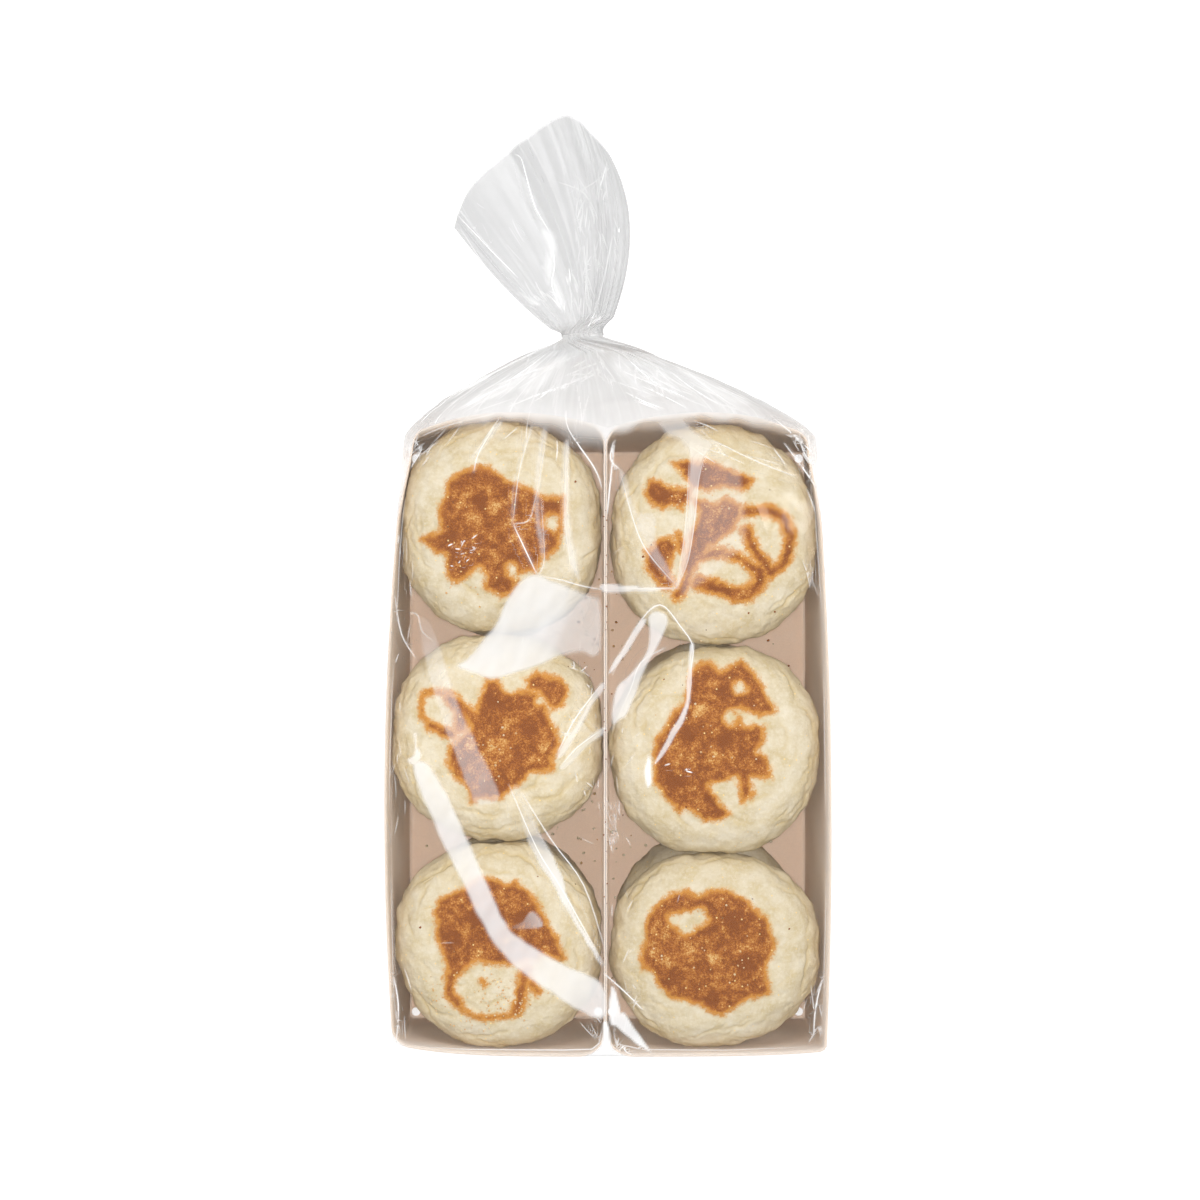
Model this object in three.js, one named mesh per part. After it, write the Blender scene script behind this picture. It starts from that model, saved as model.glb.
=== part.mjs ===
// A clear bag of twelve English muffins, lying on its back with the muffins' faces up.
//
// The muffins lie two deep and three long in each of two paperboard trays, side by side. The bag is
// drawn tight round both trays, gathered into a twisted neck, and fans out flat past the neck. Film,
// trays and muffins are one closed body here: its top follows the tray rims and the six upper
// muffins, its underside is the flat floor of the trays, and its far end is the gathered film.
//
// Millimetres. +X runs across the pack, +Y from its square end towards the neck, and +Z up. Places
// along the pack are distances from its square end, and places across it are from the line where
// the two trays meet. The finished body is then moved to stand on z = 0, centred in x and y.

import * as THREE from "three";
import { mergeVertices } from "three/addons/utils/BufferGeometryUtils.js";

// Driving dimensions of the muffins and the trays.
const MUFFIN_DIAMETER = 90;
const MUFFINS_IN_A_ROW = 3;
const MUFFIN_RISE = 4.5; // how far the upper muffins stand above the rims
const MUFFIN_FLAT = 0.42; // share of a muffin's radius that is its flat face
const FIRST_MUFFIN = 45.5; // centre of the muffin next to the square end
const TRAY_WIDTH = 91; // of one tray, at its floor
const TRAY_HEIGHT = 70.5; // to the film over the rim
const TRAY_LENGTH = 260; // of the floor
const FLOOR_INSET = 3.2; // how far the floor stands back from the rim of the square end

// The walls give. At the rim each long wall is an arc, pushed out by the muffins beside it.
const LEFT_WALL = { bow: 4.8, widest: 102, arcRadius: 1450, cornerInset: 5 };
const RIGHT_WALL = { bow: 4.8, widest: 95, arcRadius: 2100, cornerInset: 2 };
// The end walls at the neck lean out, most in the middle of each tray.
const NECK_END_LEAN = 12;
const LEAN_AT_DIVIDER = 0.45; // share of that lean where the trays meet
const LEAN_CENTRE = 0.47 * TRAY_WIDTH;
const LEAN_REACH = 0.72; // share of the length past which the film follows that lean

// The film over the open trays.
const FILM_SAG = 3.5; // below the rims, where no muffin holds it up
const SAG_MARGIN = 14; // over which it comes down from a rim
const EDGE_RADIUS = 4;
const END_RADIUS = 2;

// The shoulders, the gathered neck, and the loose fan of film past it.
const SHOULDER_FULLNESS = 1.4; // over 1 rounds the shoulders out past a straight line
const NECK_DISTANCE = 312.3; // to the narrowest place, where the fan starts
const NECK_LENGTH = 6;
const NECK_HALF_WIDTH = 9.5;
const NECK_HALF_DEPTH = 7;
const NECK_FLARE = 0.14; // how much larger the two ends of the neck are
const NECK_OFFSET = -11; // towards -X
const NECK_HEIGHT = 34;
const NECK_TWIST = Math.PI; // half a turn, so that the fan lies flat again
const PLEATS = 11;
const PLEAT_DEPTH = 0.12; // share of the gathered section's own size
const SHOULDER_PLEATS = 0.8; // share of that depth in the shoulders
const FAN_HALF_DEPTH = 5;
const FAN_MOUTH_HALF_DEPTH = 2.4;
const FAN_OPENING = 0.14; // share of the fan's length in which the neck flattens out
const FAN_DROOP = 7;
const FAN_WAVE = 2.4;

// Grid of the body: columns across it, levels from its underside to its top, and stations along it.
const COLUMNS = 26;
const LEVELS = 4;
const BODY_STATIONS = 40;
const SHOULDER_STATIONS = 10;
const NECK_STATIONS = 6;
const FAN_STATIONS = 14;
const STATIONS = BODY_STATIONS + SHOULDER_STATIONS + NECK_STATIONS + FAN_STATIONS;

// Outline of the fan in plan, from the middle of the neck: a mouth cut across the film at a slant,
// and two loose side edges.
const FAN_TIP = new THREE.Vector2(-57.5, 49);
const FAN_SHOULDER = new THREE.Vector2(11.5, 82);
const FAN_MOUTH = new THREE.SplineCurve([
  FAN_TIP,
  new THREE.Vector2(-49.5, 67),
  new THREE.Vector2(-28.8, 85.7),
  new THREE.Vector2(-8, 98.7),
  new THREE.Vector2(5.4, 88.5),
  FAN_SHOULDER,
]);
const FAN_LEFT_EDGE = new THREE.QuadraticBezierCurve(
  new THREE.Vector2(-NECK_HALF_WIDTH, 0),
  new THREE.Vector2(-32, 15),
  FAN_TIP,
);
const FAN_RIGHT_EDGE = new THREE.QuadraticBezierCurve(
  new THREE.Vector2(NECK_HALF_WIDTH, 0),
  new THREE.Vector2(31, 47),
  FAN_SHOULDER,
);

const { clamp, lerp, smoothstep } = THREE.MathUtils;

// Half the width of the pack on the side of x. lift is 0 at the floor and 1 at the rim.
function halfWidth(x, distance, lift) {
  const wall = x < 0 ? LEFT_WALL : RIGHT_WALL;
  return TRAY_WIDTH + lift * (wall.bow - (distance - wall.widest) ** 2 / (2 * wall.arcRadius));
}

// How far the square end stands back at x: more towards its outer corners.
function squareEnd(x, lift) {
  const wall = x < 0 ? LEFT_WALL : RIGHT_WALL;
  const across = clamp(Math.abs(x) / TRAY_WIDTH, 0, 1);
  return lerp(FLOOR_INSET, wall.cornerInset * across ** 4, lift);
}

// How far the end wall at the neck leans out at x.
function neckEndLean(x) {
  const off = Math.abs(x) - LEAN_CENTRE;
  if (off < 0) return NECK_END_LEAN * (1 - (1 - LEAN_AT_DIVIDER) * (off / LEAN_CENTRE) ** 2);
  return NECK_END_LEAN * (1 - Math.min(off / (TRAY_WIDTH - LEAN_CENTRE), 1) ** 2);
}

// Centres of the six upper muffins, across the pack and along it.
function muffinCentres() {
  const centres = [];
  for (const side of [-1, 1])
    for (let row = 0; row < MUFFINS_IN_A_ROW; row++)
      centres.push([(side * TRAY_WIDTH) / 2, FIRST_MUFFIN + MUFFIN_DIAMETER * row]);
  return centres;
}
const MUFFINS = muffinCentres();

// How far the film over the open trays stands above the rims.
function filmRelief(x, distance) {
  let dome = 0;
  for (const [across, along] of MUFFINS) {
    const reach = Math.hypot(x - across, distance - along) / (MUFFIN_DIAMETER / 2);
    dome = Math.max(dome, 1 - smoothstep(reach, MUFFIN_FLAT, 1.04));
  }
  const toRim = Math.min(
    Math.abs(x),
    halfWidth(x, distance, 1) - Math.abs(x),
    distance - squareEnd(x, 1),
    TRAY_LENGTH + FLOOR_INSET + neckEndLean(x) - distance,
  );
  const sag = FILM_SAG * smoothstep(toRim, 0, SAG_MARGIN);
  return (sag + MUFFIN_RISE) * dome - sag;
}

// Rounds the corner of a box section. across and up run from its centre, out to a and h.
function roundedCorner(across, up, a, h) {
  const overX = (Math.abs(across) - (a - EDGE_RADIUS)) / EDGE_RADIUS;
  const overZ = (Math.abs(up) - (h - EDGE_RADIUS)) / EDGE_RADIUS;
  if (overX <= 0 || overZ <= 0) return [across, up];
  return [
    Math.sign(across) * (a - EDGE_RADIUS * (1 - overX * Math.sqrt(1 - overZ ** 2 / 2))),
    Math.sign(up) * (h - EDGE_RADIUS * (1 - overZ * Math.sqrt(1 - overX ** 2 / 2))),
  ];
}

// Moves the last grid line before each edge to where the rounding starts, at inner.
function towardsEdge(even, cells, inner) {
  const cell = 2 / cells;
  const size = Math.abs(even);
  const moved =
    size <= 1 - cell ? (size / (1 - cell)) * inner : lerp(inner, 1, (size - 1 + cell) / cell);
  return Math.sign(even) * moved;
}

// The body between the square end and the end wall at the neck, at share along of its length.
function bodyPoint(s, level, along) {
  const column = towardsEdge(s, COLUMNS, 1 - EDGE_RADIUS / TRAY_WIDTH);
  const height = towardsEdge(level, LEVELS, 1 - (2 * EDGE_RADIUS) / TRAY_HEIGHT);
  const lift = (height + 1) / 2;
  const inset = along === 0 ? END_RADIUS : 0;
  const mean = TRAY_HEIGHT / 2;
  const straight = along * (TRAY_LENGTH + FLOOR_INSET);
  const a = halfWidth(s, straight, lift) - inset;
  const [x, up] = roundedCorner(column * a, height * (mean - inset), a, mean - inset);
  const start = squareEnd(x, lift) * (1 - along);
  const lean = neckEndLean(x) * lift * smoothstep(along, LEAN_REACH, 1);
  const distance = straight + start + lean;
  const clearOfEdge = 1 - smoothstep(Math.abs(x), a - 2 * EDGE_RADIUS, a);
  const relief = level === 1 && along > 0 ? filmRelief(x, distance) * clearOfEdge : 0;
  return new THREE.Vector3(x, distance, mean + up + relief);
}

// A point of the square grid carried onto the unit disc.
function onDisc(s, level) {
  return [s * Math.sqrt(1 - level ** 2 / 2), level * Math.sqrt(1 - s ** 2 / 2)];
}

// Pleats of the gathered film: how much further out a point of the section stands.
function pleat(s, level, depth) {
  const around = Math.atan2(level, s);
  const uneven = 1 + 0.35 * Math.sin(3 * around + 0.8);
  const fold = Math.cos(PLEATS * around + 1.2 * Math.sin(2 * around));
  return 1 + PLEAT_DEPTH * depth * uneven * fold;
}

// The gathered neck: an ellipse that turns as the film is twisted.
function neckPoint(s, level, along) {
  const [across, up] = onDisc(s, level);
  const turn = NECK_TWIST * along;
  const size = pleat(s, level, 1) * (1 + NECK_FLARE * (2 * along - 1) ** 2);
  return new THREE.Vector3(
    NECK_OFFSET + NECK_HALF_WIDTH * size * (across * Math.cos(turn) - up * Math.sin(turn)),
    NECK_DISTANCE + NECK_LENGTH * (along - 1),
    NECK_HEIGHT + NECK_HALF_DEPTH * size * (across * Math.sin(turn) + up * Math.cos(turn)),
  );
}

// The shoulder: taut film from the rims and the floor's edge up to the neck.
function shoulderPoint(s, level, along) {
  const start = bodyPoint(s, level, 1);
  const end = neckPoint(s, level, 0);
  const point = start.clone().lerp(end, along);
  point.x = lerp(start.x, end.x, along ** SHOULDER_FULLNESS);
  const middle = new THREE.Vector3(0, point.y, TRAY_HEIGHT / 2).lerp(
    new THREE.Vector3(NECK_OFFSET, point.y, NECK_HEIGHT),
    along,
  );
  const depth = along < 1 ? SHOULDER_PLEATS * along * Math.sqrt(1 - along) : 0;
  return point.sub(middle).multiplyScalar(pleat(s, level, depth)).add(middle);
}

// The loose fan past the neck: its plan fills the mouth and the two side edges, and it is thin.
function fanPoint(s, level, along) {
  const neck = neckPoint(s, level, 1);
  const [across, up] = onDisc(-s, -level);
  const share = (across + 1) / 2;
  const plan = FAN_LEFT_EDGE.getPoint(along).lerp(FAN_RIGHT_EDGE.getPoint(along), share);
  const chord = FAN_TIP.clone().lerp(FAN_SHOULDER, share);
  plan.addScaledVector(FAN_MOUTH.getPoint(share).sub(chord), along);
  const depth = lerp(FAN_HALF_DEPTH, FAN_MOUTH_HALF_DEPTH, along) * pleat(s, level, 1 - along);
  const wave = FAN_WAVE * along * Math.sin(9 * share + 0.6);
  const spread = new THREE.Vector3(
    NECK_OFFSET + plan.x,
    NECK_DISTANCE + plan.y,
    NECK_HEIGHT - FAN_DROOP * along ** 2 + wave + depth * up,
  );
  const open = smoothstep(along, 0, FAN_OPENING);
  return new THREE.Vector3(lerp(neck.x, spread.x, open), spread.y, lerp(neck.z, spread.z, open));
}

// A point of the bag from its place in the grid: s across, level up, and the station along it.
function bagPoint(s, level, station) {
  const past = station - BODY_STATIONS;
  if (past <= 0) return bodyPoint(s, level, station / BODY_STATIONS);
  const pastShoulder = past - SHOULDER_STATIONS;
  if (pastShoulder <= 0) return shoulderPoint(s, level, past / SHOULDER_STATIONS);
  const pastNeck = pastShoulder - NECK_STATIONS;
  if (pastNeck <= 0) return neckPoint(s, level, pastShoulder / NECK_STATIONS);
  return fanPoint(s, level, pastNeck / FAN_STATIONS);
}

// The whole bag: a box's grid carried onto the form above, and its edges welded.
function bagGeometry() {
  const geometry = new THREE.BoxGeometry(2, STATIONS, 2, COLUMNS, STATIONS, LEVELS);
  const position = geometry.attributes.position;
  for (let i = 0; i < position.count; i++) {
    const station = Math.round(position.getY(i) + STATIONS / 2);
    const point = bagPoint(position.getX(i), position.getZ(i), station);
    position.setXYZ(i, point.x, point.y, point.z);
  }
  geometry.deleteAttribute("normal");
  geometry.deleteAttribute("uv");
  const welded = mergeVertices(geometry, 1e-3);
  welded.computeBoundingBox();
  const centre = welded.boundingBox.getCenter(new THREE.Vector3());
  welded.translate(-centre.x, -centre.y, -welded.boundingBox.min.z);
  welded.computeVertexNormals();
  return welded;
}

const clearFilm = new THREE.MeshStandardMaterial({
  color: 0xe9e2d2,
  roughness: 0.18,
  metalness: 0,
  transparent: true,
  opacity: 0.9,
});

const bag = new THREE.Mesh(bagGeometry(), clearFilm);
bag.name = "muffin_bag";

const pack = new THREE.Group();
pack.add(bag);

export default pack;
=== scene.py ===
"""Dresses the bagged pack of English muffins: clear film, two paperboard trays, twelve muffins.

Sizes are millimetres until a piece is finished, when its mesh is scaled to metres. Places follow
the frame: +X across the pack, +Y from its square end to the neck, +Z up. A distance is measured
along the pack from its square end.
"""

import math
import random
from bisect import bisect_left
from collections import namedtuple

import bmesh
import bpy
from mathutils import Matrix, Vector, noise


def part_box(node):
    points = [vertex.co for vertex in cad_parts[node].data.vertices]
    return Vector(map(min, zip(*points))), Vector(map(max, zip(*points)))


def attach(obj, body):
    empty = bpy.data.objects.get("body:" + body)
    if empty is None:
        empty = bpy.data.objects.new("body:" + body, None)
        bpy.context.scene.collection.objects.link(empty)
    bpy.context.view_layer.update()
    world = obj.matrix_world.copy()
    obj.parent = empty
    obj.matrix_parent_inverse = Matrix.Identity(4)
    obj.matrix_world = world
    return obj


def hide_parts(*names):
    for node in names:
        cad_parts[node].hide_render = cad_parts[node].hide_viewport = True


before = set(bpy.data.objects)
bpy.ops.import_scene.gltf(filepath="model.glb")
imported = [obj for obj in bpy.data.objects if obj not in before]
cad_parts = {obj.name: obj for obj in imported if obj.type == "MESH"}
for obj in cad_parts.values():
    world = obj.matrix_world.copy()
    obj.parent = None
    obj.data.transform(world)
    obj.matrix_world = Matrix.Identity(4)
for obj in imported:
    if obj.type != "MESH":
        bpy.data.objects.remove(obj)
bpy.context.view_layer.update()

MM = 0.001
PACK_NODE = "muffin_bag"
SQUARE_END = (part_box(PACK_NODE)[0] / MM).y

# Camera, straight above the pack.
CAMERA_PLACE = (-3.4, -10.5, 1000.0)
LENS = 65.4
SENSOR = 36.0

# The small light above the camera: its power in watts, its side in metres and how far above.
OVERHEAD_POWER = 4.2
OVERHEAD_SIZE = 0.03
OVERHEAD_BEHIND = 15.0

# A softbox: its turn about the pack and its angle from straight above in degrees, its distance
# and its side in metres, and its power in watts. All of them look at the same place.
Softbox = namedtuple("Softbox", "name azimuth from_zenith distance size power")
SOFTBOXES = [
    Softbox("key_box", 32, 34, 1.6, 0.55, 3.6),
    Softbox("fill_box", 205, 40, 1.7, 0.5, 1.9),
    Softbox("back_box", 97, 42, 1.6, 0.5, 5.2),
]
LIT_PLACE = (0.0, -40.0, 60.0)

# Brightness of the surround, from the horizon to straight overhead.
SKY_STOPS = [(0.0, 0.78), (0.3, 0.7), (0.7, 0.56), (1.0, 0.5)]
STAGE_RADIUS = 6.0

# The two trays.
TRAY_WIDTH = 91.0
TRAY_LENGTH = 260.0
RIM_HEIGHT = 70.5
FLOOR_INSET = 3.2
BOARD = 0.6
BOARD_GAP = 0.4
DIVIDER = -1.06
TRAY_CLEAR_OF_FILM = 0.35
NECK_CORNER_INSET = 3.6
NECK_CORNER_SPAN = (225, 262)
FLOOR_HEIGHT = 0.5
WALL_HEIGHT = RIM_HEIGHT - 1.2
HOLE_RADIUS = 2.0

# The long walls bow out at the rim.
Wall = namedtuple("Wall", "bow widest arc_radius corner_inset")
WALLS = {-1: Wall(4.8, 102.0, 1450.0, 5.0), 1: Wall(4.8, 95.0, 2100.0, 2.0)}
NECK_END_LEAN = 12.0
LEAN_AT_DIVIDER = 0.45
LEAN_CENTRE = 0.47 * TRAY_WIDTH
LEAN_REACH = 0.72

# The film over the trays.
EDGE_RADIUS = 4.0
END_RADIUS = 2.0
FILM_RISE = 4.1

# The shoulders, the neck and the fan.
SHOULDER_FULLNESS = 1.4
NECK_DISTANCE = 312.3
NECK_LENGTH = 1.6
NECK_HALF_WIDTH = 10.4
NECK_HALF_DEPTH = 7.0
NECK_FLARE = 0.05
NECK_OFFSET = -11.0
NECK_HEIGHT = 34.0
NECK_TWIST = 0.9
TWIST_STARTS = 0.8
FAN_HALF_DEPTH = 5.0
FAN_MOUTH_HALF_DEPTH = 2.4
FAN_OPENING = 0.09
NECK_FOLD = 0.13
SHOULDER_FOLD = 0.055
FAN_DROOP = 7.0
FAN_WAVE = 1.0
FAN_TIP = (-57.5, 49.0)
FAN_SHOULDER = (11.5, 82.0)
FAN_MOUTH = [FAN_TIP, (-49.5, 67.0), (-28.8, 85.7), (-8.0, 98.7), (5.4, 88.5), FAN_SHOULDER]
FAN_LEFT_EDGE = [(-NECK_HALF_WIDTH, 0.0), (-32.0, 15.0), FAN_TIP]
FAN_RIGHT_EDGE = [(NECK_HALF_WIDTH, 0.0), (31.0, 47.0), FAN_SHOULDER]

# A layer of muffins: heights of its faces, cells across a muffin and up its side, and whether its
# toasted faces show.
Layer = namedtuple("Layer", "base top cells rows toasted")
LOWER_LAYER = Layer(1.4, 37.4, 44, 12, False)
UPPER_LAYER = Layer(37.0, 73.6, 110, 26, True)
TOP_SPARE = 0.7
MUFFIN_FLAT = 20.0
LOWER_RADIUS = 42.5

# From the outer face of a tray's wall to a muffin's skin: the board and a little air.
SKIN_INSIDE_WALL = 0.95


# ---------------------------------------------------------------- helpers


def clamp(value, low=0.0, high=1.0):
    """The value, held between two limits."""
    return max(low, min(high, value))


def lerp(a, b, share):
    """From a to b by a share."""
    return a + (b - a) * share


def smoothstep(value, start, end):
    """From 0 at the start to 1 at the end, with eased ends."""
    share = clamp((value - start) / (end - start))
    return share * share * (3 - 2 * share)


def rough(x, y, z=0.0, feature=10.0):
    """Smooth noise from -1 to 1, with features of about that many millimetres."""
    return noise.noise(Vector((x, y, z)) / feature)


def catmull(a, b, c, d, t):
    """A smooth curve through b and c, between the numbers a and d."""
    return 0.5 * (2 * b + (c - a) * t + (2 * a - 5 * b + 4 * c - d) * t * t + (3 * b - a - 3 * c + d) * t**3)


def spline(points, share):
    """A point of the smooth curve through the points."""
    last = len(points) - 1
    place = clamp(share) * last
    i = min(int(place), last - 1)
    picked = [points[clamp(k, 0, last)] for k in (i - 1, i, i + 1, i + 2)]
    return tuple(catmull(*(p[axis] for p in picked), place - i) for axis in (0, 1))


def quadratic(points, share):
    """A point of the curve that starts and ends at the outer two points and bends to the middle one."""
    a, b, c = points
    left = 1 - share
    return tuple(left * left * a[k] + 2 * left * share * b[k] + share * share * c[k] for k in (0, 1))


def distance_to_path(path, x, y):
    """Distance from a place to an open path, the path's share there, and 1 or -1 for its side."""
    best = 1e9
    at = 0.0
    side = 1
    for i in range(len(path) - 1):
        ax, ay = path[i]
        dx = path[i + 1][0] - ax
        dy = path[i + 1][1] - ay
        share = clamp(((x - ax) * dx + (y - ay) * dy) / (dx * dx + dy * dy))
        gap = math.hypot(x - ax - share * dx, y - ay - share * dy)
        if gap < best:
            best = gap
            at = (i + share) / (len(path) - 1)
            side = 1 if dx * (y - ay) > dy * (x - ax) else -1
    return best, at, side


def eased_path(path, steps=4):
    """The open path with its corners eased into curves."""
    if len(path) < 3:
        return path
    count = (len(path) - 1) * steps
    return [spline(path, i / count) for i in range(count + 1)]


def eased_outline(outline, steps=4):
    """The closed outline with its corners eased into curves."""
    count = len(outline)
    eased = []
    for i in range(count):
        picked = [outline[(i + k) % count] for k in (-1, 0, 1, 2)]
        for step in range(steps):
            eased.append(tuple(catmull(*(p[axis] for p in picked), step / steps) for axis in (0, 1)))
    return eased


def depth_inside(outline, x, y):
    """How far a place lies inside a closed outline; negative outside it."""
    closed = outline + outline[:1]
    inside = False
    for (ax, ay), (bx, by) in zip(outline, closed[1:]):
        if (ay > y) != (by > y) and x < (bx - ax) * (y - ay) / (by - ay) + ax:
            inside = not inside
    gap = distance_to_path(closed, x, y)[0]
    return gap if inside else -gap


def reach_of(points, margin):
    """The box round the points, widened by a margin."""
    xs = [p[0] for p in points]
    ys = [p[1] for p in points]
    return min(xs) - margin, min(ys) - margin, max(xs) + margin, max(ys) + margin


def within(box, x, y):
    """Whether a place lies in a box."""
    return box[0] <= x <= box[2] and box[1] <= y <= box[3]


def add_haze_glare_and_highlight_layers(bm):
    """The layers that the film's material reads: its haze with its painted glare, and its painted highlight
    lines.
    """
    return bm.verts.layers.float_color.new("veil"), bm.verts.layers.float_color.new("line")


def finish_piece(bm, name, material, slot):
    """Turns a mesh in millimetres into a piece of the pack."""
    bmesh.ops.scale(bm, vec=(MM, MM, MM), verts=bm.verts)
    for face in bm.faces:
        face.smooth = True
    mesh = bpy.data.meshes.new(name)
    bm.to_mesh(mesh)
    bm.free()
    piece = bpy.data.objects.new(name, mesh)
    bpy.context.scene.collection.objects.link(piece)
    mesh.materials.append(material)
    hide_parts(PACK_NODE)
    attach(piece, "root")
    piece.visible_shadow = slot != "film"
    return piece


def cut_box(across, along, up):
    """A box from -1 to 1, its faces cut into that many cells."""
    bm = bmesh.new()
    bmesh.ops.create_cube(bm, size=2)
    for axis, cells in enumerate((across, along, up)):
        edges = [e for e in bm.edges if abs(e.verts[0].co[axis] - e.verts[1].co[axis]) > 1]
        bmesh.ops.subdivide_edges(bm, edges=edges, cuts=cells - 1, use_grid_fill=True)
    return bm


def open_tube(around, along):
    """A tube about Z from -0.5 to 0.5, open at both ends."""
    bm = bmesh.new()
    bmesh.ops.create_cone(bm, cap_ends=False, segments=around, radius1=1, radius2=1, depth=1)
    lengthways = [e for e in bm.edges if abs(e.verts[0].co.z - e.verts[1].co.z) > 0.5]
    bmesh.ops.subdivide_edges(bm, edges=lengthways, cuts=along - 1, use_grid_fill=True)
    return bm


# ---------------------------------------------------------------- form of the pack


def half_width(x, distance, lift):
    """Half the width of the pack on the side of x; lift is 0 at the floor and 1 at the rim."""
    wall = WALLS[-1 if x < 0 else 1]
    return TRAY_WIDTH + lift * (wall.bow - (distance - wall.widest) ** 2 / (2 * wall.arc_radius))


def tray_wall(side, distance, lift):
    """How far from the pack's middle the outer wall of a tray stands."""
    tuck = NECK_CORNER_INSET * smoothstep(distance, *NECK_CORNER_SPAN) * lift
    return half_width(side, distance, lift) - TRAY_CLEAR_OF_FILM - tuck


def square_end(x, lift):
    """How far the square end stands back at x."""
    wall = WALLS[-1 if x < 0 else 1]
    across = clamp(abs(x) / TRAY_WIDTH)
    return lerp(FLOOR_INSET, wall.corner_inset * across**4, lift)


def neck_end_lean(x):
    """How far the end wall at the neck leans out at x."""
    off = abs(x) - LEAN_CENTRE
    if off < 0:
        return NECK_END_LEAN * (1 - (1 - LEAN_AT_DIVIDER) * (off / LEAN_CENTRE) ** 2)
    return NECK_END_LEAN * (1 - min(off / (TRAY_WIDTH - LEAN_CENTRE), 1) ** 2)


def rounded_corner(across, up, a, h):
    """Rounds the corner of a box section that reaches a across and h up."""
    over_x = (abs(across) - (a - EDGE_RADIUS)) / EDGE_RADIUS
    over_z = (abs(up) - (h - EDGE_RADIUS)) / EDGE_RADIUS
    if over_x <= 0 or over_z <= 0:
        return across, up
    return (
        math.copysign(a - EDGE_RADIUS * (1 - over_x * math.sqrt(1 - over_z**2 / 2)), across),
        math.copysign(h - EDGE_RADIUS * (1 - over_z * math.sqrt(1 - over_x**2 / 2)), up),
    )


def film_relief(x, distance):
    """How far the taut film stands above the rims, from each muffin's flat top down to the rim."""
    lean = neck_end_lean(x)
    to_rim = min(
        half_width(x, distance, 1) - abs(x),
        distance - square_end(x, 1),
        TRAY_LENGTH + FLOOR_INSET + lean - distance,
    )
    to_rim = max(to_rim, 0.0)
    rise = 0.0
    for muffin in UPPER_MUFFINS:
        from_flat = math.hypot(x - muffin.x, distance + SQUARE_END - muffin.y) - MUFFIN_FLAT
        rise = max(rise, to_rim / (max(from_flat, 0.0) + to_rim + 0.01))
    return FILM_RISE * rise


def body_point(s, level, along):
    """The film round the trays: s across, level up, both from -1 to 1, and along from 0 to 1."""
    lift = (level + 1) / 2
    inset = END_RADIUS if along == 0 else 0.0
    mean = RIM_HEIGHT / 2
    straight = along * (TRAY_LENGTH + FLOOR_INSET)
    a = half_width(s, straight, lift) - inset
    x, up = rounded_corner(s * a, level * (mean - inset), a, mean - inset)
    start = square_end(x, lift) * (1 - along)
    lean = neck_end_lean(x) * lift * smoothstep(along, LEAN_REACH, 1)
    distance = straight + start + lean
    relief = 0.0
    if level == 1 and along > 0:
        relief = film_relief(x, distance)
    return Vector((x, SQUARE_END + distance, mean + up + relief))


def on_disc(s, level):
    """A place in the square carried onto the unit disc."""
    return s * math.sqrt(1 - level**2 / 2), level * math.sqrt(1 - s**2 / 2)


# Shares of the way round the section that its top and each of its sides take.
TOP_SHARE = 0.36
SIDE_SHARE = 0.14


def share_round(vert):
    """A tube's place on the way round the section, from its angle."""
    return (math.atan2(vert.co.y, -vert.co.x) / (2 * math.pi)) % 1


def on_square(share):
    """A place on the edge of the section, from its share of the way round, from the top left."""
    if share < TOP_SHARE:
        return -1 + 2 * share / TOP_SHARE, 1.0
    share -= TOP_SHARE
    if share < SIDE_SHARE:
        return 1.0, 1 - 2 * share / SIDE_SHARE
    share -= SIDE_SHARE
    if share < TOP_SHARE:
        return 1 - 2 * share / TOP_SHARE, -1.0
    return -1.0, -1 + 2 * (share - TOP_SHARE) / SIDE_SHARE


# Sharp folds that run from the neck into the shoulders and the fan: how many, how deep, where.
FOLDS = [(11, 0.5, 0.15), (19, 0.42, 0.6), (33, 0.3, 0.35), (57, 0.15, 0.8)]


def fold_wave(share):
    """Sharp folds round the gathered film, from -1 to 1."""
    bent = share + 0.011 * math.sin(6 * math.pi * share + 1) + 0.006 * math.sin(22 * math.pi * share)
    total = 0.0
    for count, size, start in FOLDS:
        place = (bent * count + start) % 1
        total += size * (abs(place - 0.5) * 4 - 1)
    return total


def turned(point, turn):
    """A point turned about the neck's own line."""
    across = point.x - NECK_OFFSET
    up = point.z - NECK_HEIGHT
    point.x = NECK_OFFSET + across * math.cos(turn) - up * math.sin(turn)
    point.z = NECK_HEIGHT + across * math.sin(turn) + up * math.cos(turn)
    return point


def neck_point(share, along):
    """The gathered neck, before the twist."""
    across, up = on_disc(*on_square(share))
    size = (1 + NECK_FLARE * (2 * along - 1) ** 2) * (1 + NECK_FOLD * fold_wave(share))
    return Vector(
        (
            NECK_OFFSET + NECK_HALF_WIDTH * size * across,
            SQUARE_END + NECK_DISTANCE + NECK_LENGTH * (along - 1),
            NECK_HEIGHT + NECK_HALF_DEPTH * size * up,
        )
    )


def shoulder_point(share, along):
    """Film drawn from the rims and the floor's edge up to the neck."""
    s, level = on_square(share)
    start = body_point(s, level, 1)
    end = neck_point(share, 0)
    point = start.lerp(end, along)
    point.x = lerp(start.x, end.x, along**SHOULDER_FULLNESS)
    middle = Vector((0, point.y, RIM_HEIGHT / 2)).lerp(Vector((NECK_OFFSET, point.y, NECK_HEIGHT)), along)
    depth = SHOULDER_FOLD * along**1.3 * (1 - along) ** 0.5
    crumple = 0.05 * along * (1 - along) * rough(share * 300, along * 40, 5, 3)
    point = middle + (point - middle) * (1 + depth * fold_wave(share) + crumple)
    return turned(point, NECK_TWIST * smoothstep(along, TWIST_STARTS, 1))


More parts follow.
